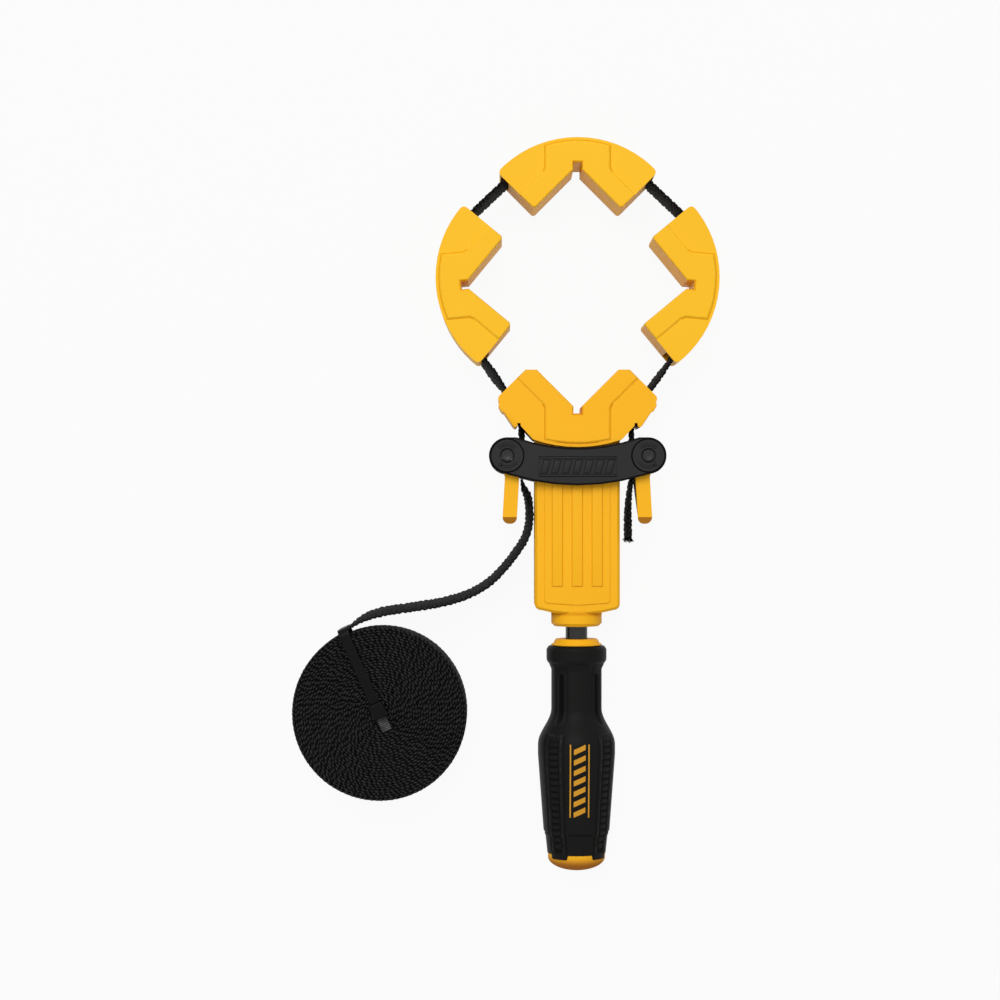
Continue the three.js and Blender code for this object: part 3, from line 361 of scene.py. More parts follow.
GRAIN = Effect("mould_grain", (("Vector", "Vector"), ("Scale", "Float")), ("Height", "Shade"), fill_grain)
WEAR_AND_PAINTED_LIGHT = Effect(
    "rubbed_edges_and_painted_light", (("Vector", "Vector"), ("Amount", "Float"), ("Edge", "Float")), ("Mask", "PaintedShade"),
    fill_wear_and_painted_light,
)
DUST = Effect("thin_dust", (("Vector", "Vector"), ("Amount", "Float")), ("Mask",), fill_dust)
WEAVE = Effect(
    "woven_yarns", (("Vector", "Vector"), ("Float", "Float"), ("Yarn", "Float")), ("Height", "Shade"),
    fill_weave,
)


@dataclass(frozen=True)
class Finish:
    """A finish with grain, a slow random change of tone, rubbed edges with painted highlights, painted shade
    in sunk places, and dust.
    """

    name: str
    slot: Slot
    colour: Colour
    shade: Colour
    # Colour of rubbed edges, which is also a painted highlight on them.
    worn_and_highlit: Colour
    dusty: Colour
    # Colour of painted shade in sunk places, creases and faces turned from the light.
    deep: Colour = (0.001, 0.001, 0.001, 1)
    roughness: float = 0.45
    rough_swing: float = 0.12
    specular: float = 0.4
    metallic: float = 0.0
    grain: float = 1800.0
    relief: float = 0.03
    # Amount of rubbed edges and their painted highlights.
    wear_and_highlight: float = 0.35
    dust: float = 0.1

    def material(self) -> Material:
        """Builds the material on its first use.

        Returns:
            The material.
        """
        known = bpy.data.materials.get(self.name)
        if known:
            return known
        made = bpy.data.materials.new(self.name)
        made.use_nodes = True
        shader = Shader(made.node_tree)
        surface = shader.node("BsdfPrincipled")
        shader.feed(surface, Metallic=self.metallic)
        self.dress(shader, surface)
        shader.feed(shader.node("OutputMaterial"), Surface=surface.outputs[0])
        return made

    def dress(self, shader: Shader, surface: Node) -> None:
        """Feeds colour, roughness and relief.

        Args:
            shader: Material's shader.
            surface: Principled shader of the material.
        """
        place = shader.node("TexCoord").outputs["Object"]
        grain = GRAIN.use(shader, Vector=place, Scale=self.grain)
        height = grain.outputs["Height"]
        mark = shader.edge_mark()
        worn_and_highlit = WEAR_AND_PAINTED_LIGHT.use(shader, Vector=place, Amount=self.wear_and_highlight, Edge=mark)
        # Mask of painted shade in sunk places.
        sunk = worn_and_highlit.outputs["PaintedShade"]
        dust = DUST.use(shader, Vector=place, Amount=self.dust).outputs["Mask"]
        base = shader.blend(grain.outputs["Shade"], self.colour, self.shade)
        # Painted shade in sunk places, then rubbed edges whose lighter colour is also a painted highlight.
        base = shader.blend(worn_and_highlit.outputs["Mask"], shader.blend(sunk, base, self.deep), self.worn_and_highlit)
        swing = shader.times(shader.math("SUBTRACT", height, 0.5), self.rough_swing)
        matt = shader.math("MULTIPLY_ADD", sunk, 0.9 * (1 - self.roughness), swing)
        bump = shader.node("Bump")
        shader.feed(bump, Height=height, Strength=0.6, Distance=self.relief * MM)
        shader.feed(
            surface, Base_Color=shader.blend(dust, base, self.dusty), Specular_IOR_Level=self.specular,
            Roughness=shader.plus(matt, self.roughness), Normal=bump.outputs[0],
        )


@dataclass(frozen=True)
class Cloth(Finish):
    """Webbing finish whose yarns follow the strap's own map, in millimetres."""

    float_length: float = 2.0
    yarn: float = 1.25

    def dress(self, shader: Shader, surface: Node) -> None:
        """Feeds yarn colour, roughness and relief.

        Args:
            shader: Material's shader.
            surface: Principled shader of the material.
        """
        place = shader.node("UVMap", uv_map="weave").outputs[0]
        spot = shader.node("TexCoord").outputs["Object"]
        weave = WEAVE.use(shader, Vector=place, Float=self.float_length, Yarn=self.yarn)
        mark = shader.edge_mark()
        # Marks above 0 paint highlights on the beads and the flattened coil; marks below 0 paint shade in
        # their hollows and along the run.
        high = shader.times(shader.ramp(mark, 0.0, 1.0), self.wear_and_highlight)
        sunk = shader.ramp(shader.times(mark, -1.0), 0.0, 1.0)
        # Yarn tops in the lighter colour and the gaps between yarns in the darker one, which paints shade
        # between the yarns.
        base = shader.blend(weave.outputs["Shade"], self.shade, self.colour)
        base = shader.blend(high, shader.blend(sunk, base, self.deep), self.worn_and_highlit)
        dust = DUST.use(shader, Vector=spot, Amount=self.dust).outputs["Mask"]
        coloured = shader.blend(dust, base, self.dusty)
        swing = shader.times(weave.outputs["Shade"], self.rough_swing)
        rough = shader.math("SUBTRACT", self.roughness, swing)
        bump = shader.node("Bump")
        shader.feed(bump, Height=weave.outputs["Height"], Strength=0.9, Distance=self.relief * MM)
        shader.feed(surface, Base_Color=coloured, Roughness=rough, Normal=bump.outputs[0])
        shader.feed(surface, Specular_IOR_Level=self.specular)


YELLOW = Finish(
    "yellow_moulding", Slot.YELLOW, (0.952, 0.518, 0.0155, 1), (0.942, 0.506, 0.0145, 1),
    (0.97, 0.6, 0.07, 1), (0.9, 0.6, 0.2, 1), (0.82, 0.36, 0.006, 1), roughness=0.48, specular=0.12,
    grain=2100.0, relief=0.018, wear_and_highlight=0.3, dust=0.015,
)
# Deeper orange copy of the yellow for the head, levers and core: partly their own tone, partly painted shade
# for the light that falls off towards the handle.
AMBER = replace(
    YELLOW, name="amber_moulding", colour=(0.965, 0.478, 0.0132, 1), shade=(0.955, 0.465, 0.0122, 1),
    worn_and_highlit=(0.98, 0.56, 0.06, 1), dusty=(0.9, 0.55, 0.16, 1), deep=(0.74, 0.29, 0.006, 1), roughness=0.46,
)
# Amber with a darker sunk colour, for the painted shade on the levers' tips and the butt's dome.
AMBER_PAINTED_SHADE = replace(AMBER, name="amber_moulding_painted_shade", deep=(0.48, 0.165, 0.02, 1))
BLACK = Finish(
    "black_moulding", Slot.BLACK, (0.0225, 0.0216, 0.0218, 1), (0.0205, 0.0196, 0.0198, 1),
    (0.07, 0.068, 0.068, 1), (0.045, 0.043, 0.041, 1), roughness=0.42, specular=0.11, grain=2000.0,
    relief=0.03, wear_and_highlight=0.7, dust=0.05,
)
RUBBER = Finish(
    "soft_rubber", Slot.RUBBER, (0.0095, 0.0091, 0.0088, 1), (0.0083, 0.0079, 0.0076, 1),
    (0.04, 0.039, 0.038, 1), (0.028, 0.027, 0.025, 1), roughness=0.46, specular=0.055, grain=1500.0,
    relief=0.05, wear_and_highlight=0.8, dust=0.05,
)
TIE = Finish(
    "tie_nylon", Slot.BLACK, (0.0055, 0.0054, 0.0056, 1), (0.0042, 0.0042, 0.0044, 1), (0.03, 0.03, 0.031, 1),
    (0.03, 0.029, 0.028, 1), roughness=0.36, specular=0.055, grain=1100.0, relief=0.02, wear_and_highlight=0.4, dust=0.05,
)
# Lighter copy of the tie's nylon for the cut stub, which paints light on its ridges.
TIE_PAINTED_LIGHT = replace(
    TIE, name="tie_nylon_painted_light", colour=(0.03, 0.03, 0.031, 1), shade=(0.02, 0.02, 0.021, 1),
    worn_and_highlit=(0.16, 0.16, 0.162, 1), dusty=(0.06, 0.058, 0.056, 1), roughness=0.34, specular=0.3, wear_and_highlight=1.0,
)
# Yarn tops in the lighter colour and gaps in the darker one, painted shade between yarns; the rubbed colour
# paints highlights on the beads, and the sunk colour paints shade.
WEBBING = Cloth(
    "black_webbing", Slot.WEBBING, (0.0158, 0.015, 0.0146, 1), (0.0022, 0.0021, 0.0021, 1),
    (0.036, 0.035, 0.0345, 1), (0.03, 0.028, 0.027, 1), (0.002, 0.002, 0.002, 1), roughness=0.85,
    rough_swing=0.25, specular=0.06, relief=0.25, wear_and_highlight=0.9, dust=0.1,
)
DARK_STEEL = Finish(
    "blackened_steel", Slot.DARK_STEEL, (0.034, 0.034, 0.035, 1), (0.024, 0.024, 0.025, 1),
    (0.2, 0.2, 0.21, 1), (0.06, 0.057, 0.053, 1), roughness=0.24, rough_swing=0.1, specular=0.4,
    metallic=0.85, grain=2600.0, relief=0.008, wear_and_highlight=0.45, dust=0.05,
)
OILED_STEEL = replace(
    DARK_STEEL, name="oiled_steel", colour=(0.04, 0.04, 0.039, 1), shade=(0.028, 0.028, 0.027, 1),
    worn_and_highlit=(0.25, 0.25, 0.25, 1), roughness=0.2, rough_swing=0.08, relief=0.006, dust=0.03,
)
STEEL = Finish(
    "plated_steel", Slot.STEEL, (0.5, 0.51, 0.52, 1), (0.4, 0.41, 0.42, 1), (0.68, 0.68, 0.69, 1),
    (0.4, 0.38, 0.35, 1), roughness=0.34, specular=0.5, metallic=1.0, grain=1900.0, relief=0.01, wear_and_highlight=0.5,
)
BRASS = replace(
    STEEL, name="turned_brass", slot=Slot.BRASS, colour=(0.56, 0.36, 0.1, 1), shade=(0.44, 0.27, 0.07, 1),
    worn_and_highlit=(0.72, 0.52, 0.2, 1), dusty=(0.35, 0.28, 0.16, 1), roughness=0.33, wear_and_highlight=0.4,
)
NYLON = Finish(
    "white_nylon", Slot.NYLON, (0.68, 0.66, 0.58, 1), (0.6, 0.58, 0.5, 1), (0.75, 0.73, 0.67, 1),
    (0.5, 0.46, 0.4, 1), roughness=0.5, specular=0.4, grain=1300.0, relief=0.02, wear_and_highlight=0.2,
)
PRINT = Finish(
    "yellow_print", Slot.YELLOW, (0.7, 0.33, 0.022, 1), (0.6, 0.28, 0.018, 1), (0.5, 0.25, 0.025, 1),
    (0.3, 0.2, 0.08, 1), roughness=0.55, specular=0.2, grain=1700.0, relief=0.02, wear_and_highlight=0.3, dust=0.1,
)


def finished(
    name: str, bm: BMesh, finish: Finish, body: Body, nodes: Iterable[str] = (), crease: float = 40.0
) -> Object:
    """Turns a shape in millimetres into a piece that rides on a body.

    Args:
        name: Name of the piece.
        bm: Shape, which is used up.
        finish: Finish of the piece.
        body: Body that carries it.
        nodes: Solids that it stands for.
        crease: Angle in degrees past which an edge stays sharp.

    Returns:
        The piece.
    """
    bmesh.ops.scale(bm, vec=(MM, MM, MM), verts=bm.verts)
    mesh = bpy.data.meshes.new(name)
    bm.to_mesh(mesh)
    bm.free()
    mesh.shade_smooth()
    mesh.set_sharp_from_angle(angle=math.radians(crease))
    mesh.materials.append(finish.material())
    made = bpy.data.objects.new(name, mesh)
    bpy.context.scene.collection.objects.link(made)
    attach(made, body.value)
    if nodes:
        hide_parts(*nodes)
    return made


def copied(node: str) -> BMesh:
    """Copies a solid, joined up and with its flat faces whole.

    Args:
        node: Name of the solid.

    Returns:
        The copy, in millimetres.
    """
    bm = bmesh.new()
    bm.from_mesh(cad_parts[node].data)
    bmesh.ops.scale(bm, vec=(1 / MM, 1 / MM, 1 / MM), verts=bm.verts)
    bmesh.ops.remove_doubles(bm, verts=bm.verts, dist=SOLID_WELD)
    bmesh.ops.dissolve_limit(bm, angle_limit=math.radians(FLAT_ANGLE), verts=bm.verts, edges=bm.edges)
    bm.loops.layers.float.new(EDGE)
    return bm


def keen_edges(bm: BMesh, least: float, keep: Callable[[BMEdge], bool] = lambda edge: True) -> list[BMEdge]:
    """Edges that turn by more than an angle in degrees and also pass a test."""
    limit = math.radians(least)
    return [edge for edge in bm.edges if edge.calc_face_angle(0.0) > limit and keep(edge)]


def rounded(bm: BMesh, edges: Sequence[BMEdge], radius: float, segments: int = 2) -> None:
    """Rounds edges of a shape; where it keeps marks, it marks convex rounds as edges, for wear with painted
    highlights, and concave rounds for painted shade.

    Args:
        bm: Shape.
        edges: Edges to round.
        radius: Width of the round.
        segments: Steps of the round.
    """
    made = bmesh.ops.bevel(
        bm, geom=list(edges), offset=radius, offset_type="OFFSET", segments=segments, profile=0.5,
        affect="EDGES", clamp_overlap=True, material=-1,
    )
    mark = bm.loops.layers.float.get(EDGE)
    for face in made["faces"] if mark else ():
        bend = sum(edge.calc_face_angle_signed(0.0) for edge in face.edges)
        for loop in face.loops:
            loop[mark] = math.copysign(1.0, bend)


def softened(
    bm: BMesh, radius: float, line_round: float = 0.45, least: float = 24.0, steep: float = 0.9,
    depth: float = 1.2,
) -> None:
    """Rounds a jaw: wide rounds along the lines of its raised face, then its other edges.

    Args:
        bm: Copy of the jaw.
        radius: Width of the common round.
        line_round: Width of the rounds along the lines.
        least: Least angle in degrees of an edge to round.
        steep: Angle in radians that edges along the lines stay below.
        depth: Depth below the jaw's top within which the lines lie.
    """
    top = max(vert.co.z for vert in bm.verts) - depth

    def lined(edge: BMEdge) -> bool:
        """Whether an edge lies along one of the lines."""
        return edge.calc_face_angle(0.0) < steep and all(end.co.z > top for end in edge.verts)

    rounded(bm, keen_edges(bm, least, lined), line_round, 3)
    mark = bm.loops.layers.float.get(EDGE)
    plain = keen_edges(bm, least, lambda edge: all(loop[mark] == 0.0 for loop in edge.link_loops))
    rounded(bm, plain, radius)


def shaded(bm: BMesh, value: float, test: Callable[[BMLoop], bool]) -> None:
    """Marks the corners of faces that pass a test.

    Args:
        bm: Copy of a solid.
        value: Mark to set.
        test: Test of a corner.
    """
    mark = bm.loops.layers.float.get(EDGE)
    for loop in (loop for face in bm.faces for loop in face.loops if test(loop)):
        loop[mark] = value


def weighted(made: Object) -> Object:
    """Lets large faces of a piece set the normals of its rounds.

    Args:
        made: Piece.

    Returns:
        The same piece.
    """
    modifier = made.modifiers.new("even_shading", "WEIGHTED_NORMAL")
    modifier.keep_sharp = True
    modifier.weight = FACE_WEIGHT
    return made


def spun(points: Iterable[Spot], centre: Spot, axis: Spot, steps: int, closed: bool) -> BMesh:
    """Spins a line of points once round an axis.

    Args:
        points: Points of the line.
        centre: Point of the axis.
        axis: Direction of the axis.
        steps: Sides of the round.
        closed: Whether the last point joins the first.

    Returns:
        The turned shape.
    """
    bm = bmesh.new()
    verts = [bm.verts.new(point) for point in points]
    edges = [bm.edges.new(pair) for pair in zip(verts, verts[1:])]
    if closed:
        edges.append(bm.edges.new((verts[-1], verts[0])))
    bmesh.ops.spin(bm, geom=verts + edges, cent=centre, axis=axis, angle=TURN, steps=steps, use_merge=True)
    welded(bm)
    return bm


def welded(bm: BMesh, reach: float = WELD) -> None:
    """Joins points that meet, and turns all faces outwards."""
    bmesh.ops.remove_doubles(bm, verts=bm.verts, dist=reach)
    bmesh.ops.recalc_face_normals(bm, faces=bm.faces)


def turned(profile: Sequence[Point], steps: int, closed: bool = False) -> BMesh:
    """Spins a profile of radius and station about the spindle's axis."""
    return spun([(radius, station, MID) for radius, station in profile], (0, 0, MID), AXIS, steps, closed)


def upright(profile: Sequence[Point], x: float, y: float, steps: int, closed: bool = False) -> BMesh:
    """Spins a profile of radius and level about an upright axis."""
    return spun([(x + radius, y, level) for radius, level in profile], (x, y, 0), UP, steps, closed)


def swung(bm: BMesh, verts: Iterable[BMVert], angle: float, axis: str = "Z") -> None:
    """Turns points by an angle in radians about an axis through the origin."""
    bmesh.ops.rotate(bm, cent=ORIGIN, matrix=Matrix.Rotation(angle, 3, axis), verts=verts)


def smoothstep(low: float, high: float, value: float) -> float:
    """Eases a value from 0 at low to 1 at high."""
    share = min(1.0, max(0.0, (value - low) / (high - low)))
    return share * share * (3 - 2 * share)


def fade(low: float, high: float, value: float) -> float:
    """Eases a value from 1 at low to 0 at high."""
    return 1 - smoothstep(low, high, value)


def eased(knots: Sequence[Point], place: float) -> float:
    """A value that eases from knot to knot.

    Args:
        knots: Place and value of each knot.
        place: Where to read it.

    Returns:
        The value.
    """
    value = knots[0][1]
    for (near, first), (far, last) in zip(knots, knots[1:]):
        value += (last - first) * smoothstep(near, far, place)
    return value


def block(bm: BMesh, place: Spot, size: Spot, slant: float = 0.0, skirt: float = 0.0) -> list[BMVert]:
    """Adds a small raised block with soft top edges and painted shade at its foot.

    Args:
        bm: Shape that it joins.
        place: Middle of the block.
        size: Its width, length and height.
        slant: Shift across for each unit of length.
        skirt: Width by which its foot, in painted shade, spreads.

    Returns:
        Its corners.
    """
    mark = bm.verts.layers.float.get(EDGE) or bm.verts.layers.float.new(EDGE)
    before = set(bm.verts)
    made = bmesh.ops.create_cube(bm, size=1.0)["verts"]
    bmesh.ops.scale(bm, vec=size, verts=made)
    for vert in made:
        vert.co.x += slant * vert.co.y
        if vert.co.z < 0:
            vert.co.x += math.copysign(skirt, vert.co.x)
            vert.co.y += math.copysign(skirt, vert.co.y)
    bmesh.ops.translate(bm, vec=place, verts=made)
    edges = {edge for vert in made for edge in vert.link_edges}
    top = [edge for edge in edges if all(end.co.z > place[2] for end in edge.verts)]
    rounded(bm, top, min(size) * BLOCK_ROUND)
    made = [vert for vert in bm.verts if vert not in before]
    for vert in made:
        vert[mark] = 0.0 if vert.co.z > place[2] else FOOT_SHADE
    return made


def arc(centre: Point, radius: float, start: float, end: float, spacing: float = 1.0) -> list[Point]:
    """Points along an arc.

    Args:
        centre: Centre of the arc.
        radius: Its radius.
        start: First angle in degrees.
        end: Last angle in degrees.
        spacing: Distance between points.

    Returns:
        The points.
    """
    sweep = math.radians(end - start)
    count = max(2, math.ceil(abs(sweep) * radius / spacing))
    angles = [math.radians(start) + sweep * step / count for step in range(count + 1)]
    return [(centre[0] + radius * math.cos(a), centre[1] + radius * math.sin(a)) for a in angles]


def flowing(points: Sequence[Vector], spacing: float) -> list[Vector]:
    """A smooth line through points.

    Args:
        points: Points that the line passes.
        spacing: Distance between the line's own points.

    Returns:
        Points of the line, the last point given among them.
    """
    ends = [2 * points[0] - points[1], *points, 2 * points[-1] - points[-2]]
    line = []
    for a, b, c, d in zip(ends, ends[1:], ends[2:], ends[3:]):
        knots = [0.0]
        for near, far in ((a, b), (b, c), (c, d)):
            knots.append(knots[-1] + math.sqrt((far - near).length))
        t0, t1, t2, t3 = knots
        count = max(1, round((c - b).length / spacing))
        for step in range(count):
            t = t1 + (t2 - t1) * step / count
            a1 = a.lerp(b, (t - t0) / (t1 - t0))
            a2 = b.lerp(c, (t - t1) / (t2 - t1))
            a3 = c.lerp(d, (t - t2) / (t3 - t2))
            b1 = a1.lerp(a2, (t - t0) / (t2 - t0))
            b2 = a2.lerp(a3, (t - t1) / (t3 - t1))
            line.append(b1.lerp(b2, (t - t1) / (t2 - t1)))
    return [*line, points[-1].copy()]


@dataclass
class Ribbon:
    """Webbing stood on edge along a line, with a bead of yarn along both of its edges."""

    width: float = 25.4
    thick: float = 1.2
    bead_pitch: float = 2.0
    bead: float = 0.16
    bead_shift: float = 0.1
    lift: float = 0.16
    crown: float = 0.0
    # Painted shade added where the bead is full, along the run.
    run_shade: float = 0.3
    # Painted highlight added where the bead is flattened, in the coil.
    flat_coil_highlight: float = 0.7
    step: float = 0.5
    face_cuts: int = 2
    edge_land: float = 1.1
    edge_span: Point = (0.6, 0.93)
    drift: tuple[Spot, ...] = ((0.9, 0.61, 0.0), (0.6, 1.7, 1.0))
    patches: Line = ((0.93, 2.0), (0.37, 0.0))
    patch_size: float = 0.5
    yarn_lag: Point = (0.8, 1.3)

    def section(self) -> list[Point]:
        """Points round the cross-section.

        Returns:
            Offset through the thickness and level of each point, both as shares of one half.
        """
        edge = 1 - self.edge_land / self.width
        inner = [edge * (2 * cut / self.face_cuts - 1) for cut in range(self.face_cuts + 1)]
        front = [(1.0, level) for level in inner]
        back = [(-1.0, level) for level in reversed(inner)]
        return [*front, (0.0, 1.0), *back, (0.0, -1.0)]

    def girth(self) -> list[float]:
        """Distance round the cross-section at each of its points, and back at the first.

        Returns:
            The distances.
        """
        half, tall = self.thick / 2, self.width / 2
        ring = [Vector((through * half, level * tall)) for through, level in self.section()]
        gone = [0.0]
        for near, far in zip(ring, [*ring[1:], ring[0]]):
            gone.append(gone[-1] + (far - near).length)
        return gone

    def sections(self, line: Sequence[Vector]) -> tuple[list[Vector], list[Vector], list[float]]:
        """Evenly spaced stations along a line.

        Args:
            line: Points of the line.

        Returns:
            Place, sideways direction and distance from the start of each station.
        """
        gone = [0.0]
        for near, far in zip(line, line[1:]):
            gone.append(gone[-1] + (far - near).length)
        count = max(2, round(gone[-1] / self.step))
        places, marks, at = [], [], 0
        for station in range(count + 1):
            mark = gone[-1] * station / count
            while at < len(line) - 2 and gone[at + 1] < mark:
                at += 1
            share = (mark - gone[at]) / max(1e-9, gone[at + 1] - gone[at])
            places.append(line[at].lerp(line[at + 1], min(1.0, share)))
            marks.append(mark)
        sides = []
        for station in range(count + 1):
            ahead = places[min(count, station + 1)] - places[max(0, station - 1)]
            sides.append(Vector((-ahead.y, ahead.x, 0)).normalized())
        return places, sides, marks

    def woven(
        self,
        line: Sequence[Vector],
        lean: Callable[[float], float] = lambda share: 0.0,
        bead: Callable[[float], float] = lambda share: 1.0,
    ) -> BMesh:
        """Rolls a grid round a line into a strap.

        Args:
            line: Points along the middle of the strap.
            lean: Lean in degrees at a share of the length.
            bead: Share of the full bead at a share of the length.

        Returns:
            The strap, with its map in millimetres along and across.
        """
        places, sides, marks = self.sections(line)
        ring, spread = self.section(), self.girth()
        count, girth = len(places) - 1, len(ring)
        bm = bmesh.new()
        chart = bm.loops.layers.uv.new("weave")
        mark = bm.verts.layers.float.new(EDGE)
        bmesh.ops.create_grid(bm, x_segments=count, y_segments=girth, size=0.5)
        half, tall = self.thick / 2, self.width / 2
        lag, skew = self.yarn_lag
        for face in bm.faces:
            for loop in face.loops:
                place = loop.vert.co
                loop[chart].uv = ((place.x + 0.5) * marks[-1], spread[round((place.y + 0.5) * girth)])
        for vert in bm.verts:
            station = round((vert.co.x + 0.5) * count)
            through, level = ring[round((vert.co.y + 0.5) * girth) % girth]
            along = marks[station]
            drift = sum(size * math.sin(rate * along + start) for size, rate, start in self.drift)
            wave = TURN * along / self.bead_pitch + drift
            patch = math.prod(math.sin(rate * along + start) for rate, start in self.patches)
            edge = smoothstep(*self.edge_span, abs(level))
            full = bead(station / count)
            rim = edge * full * (1 + self.patch_size * patch)
            swell = self.bead * rim * math.cos(wave) + self.bead_shift * rim * math.sin(wave / 2) * through
            deep = through * (half + swell + self.crown * (1 - edge))
            # The yarn mark paints highlights and shade in slanted dashes along the beaded edges.
            yarn = edge * math.cos(wave + lag + skew * through)
            high = level * tall + math.copysign(self.lift * yarn, level)
            # A full bead, on the run, gets more painted shade, and the flattened coil more painted highlight.
            vert[mark] = yarn + self.flat_coil_highlight * (1 - full) - self.run_shade * full
            tip = math.radians(lean(station / count))
            side = deep * math.cos(tip) + high * math.sin(tip)
            rise = high * math.cos(tip) - deep * math.sin(tip)
            vert.co = places[station] + sides[station] * side + Vector((0, 0, rise))
        bmesh.ops.remove_doubles(bm, verts=bm.verts, dist=SEAM)
        bmesh.ops.holes_fill(bm, edges=[edge for edge in bm.edges if edge.is_boundary], sides=0)
        bmesh.ops.recalc_face_normals(bm, faces=bm.faces)
        return bm


@dataclass
class Studio:
    """Camera above the bench, a pale floor and soft light."""

    camera: Spot = (-35.7, 2.75, 1066.0)
    lens: float = 80.8
    sensor: float = 36.0
    far_clip: float = 50.0
    floor_side: float = 9000.0
    floor_level: float = -0.15
    floor_grey: Colour = (0.55, 0.55, 0.55, 1)
    floor_white: float = 0.935
    lamp: Spot = (-220.0, 760.0, 1400.0)
    lamp_side: float = 1100.0
    lamp_power: float = 13.9
    sky: float = 0.6
    sky_low: float = 0.2
    sky_span: Point = (-0.1, 0.8)

    def build(self) -> None:
        """Sets up camera, floor, lamp and sky."""
        scene = bpy.context.scene
        scene.view_settings.view_transform = "Standard"
        eye = bpy.data.cameras.new("bench_camera")
        eye.lens = self.lens
        eye.sensor_width = self.sensor
        eye.clip_end = self.far_clip
        stand = bpy.data.objects.new("bench_camera", eye)
        stand.location = Vector(self.camera) * MM
        scene.collection.objects.link(stand)
        scene.camera = stand
        self.floor()
        self.light()
        self.sky_light()

    def floor(self) -> None:
        """Lays the floor, which keeps part of the object's shadow on white."""
        bm = bmesh.new()
        bmesh.ops.create_grid(bm, x_segments=1, y_segments=1, size=self.floor_side / 2 * MM)
        bmesh.ops.translate(bm, vec=(0, 0, self.floor_level * MM), verts=bm.verts)
        mesh = bpy.data.meshes.new("bench_floor")
        bm.to_mesh(mesh)
        bm.free()
        made = bpy.data.materials.new("bench_white")
        made.use_nodes = True
        shader = Shader(made.node_tree)
        matte = shader.feed(shader.node("BsdfDiffuse"), Color=self.floor_grey)
        white = shader.feed(shader.node("Emission"), Color=(1, 1, 1, 1), Strength=1.0)
        mix = shader.node("MixShader")
        share = shader.times(shader.in_view(), self.floor_white)
        for socket, value in zip(mix.inputs, (share, matte.outputs[0], white.outputs[0])):
            shader.put(socket, value)
        shader.feed(shader.node("OutputMaterial"), Surface=mix.outputs[0])
        mesh.materials.append(made)
        floor = bpy.data.objects.new("bench_floor", mesh)
        bpy.context.scene.collection.objects.link(floor)

    def light(self) -> None:
        """Hangs one broad lamp above the far left."""
        data = bpy.data.lights.new("soft_lamp", "AREA")
        data.shape = "DISK"
        data.size = self.lamp_side * MM
        data.energy = self.lamp_power
        lamp = bpy.data.objects.new("soft_lamp", data)
        lamp.location = Vector(self.lamp) * MM
        lamp.rotation_mode = "QUATERNION"
        lamp.rotation_quaternion = (-lamp.location).to_track_quat("-Z", "Y")
        bpy.context.scene.collection.objects.link(lamp)

    def sky_light(self) -> None:
        """Lights from above at a plain level, less from the sides, with white behind the view."""
        world = bpy.data.worlds.new("studio_sky")
        world.use_nodes = True
        shader = Shader(world.node_tree)
        way = shader.feed(shader.node("SeparateXYZ"), Vector=shader.node("TexCoord").outputs["Generated"])
        above = shader.ramp(way.outputs["Z"], *self.sky_span)
        soft = shader.math("MULTIPLY_ADD", above, self.sky - self.sky_low, self.sky_low)
        level = shader.math("MAXIMUM", shader.in_view(), soft)
        back = shader.feed(shader.node("Background"), Color=(1, 1, 1, 1), Strength=level)
        shader.feed(shader.node("OutputWorld"), Surface=back.outputs[0])
        bpy.context.scene.world = world


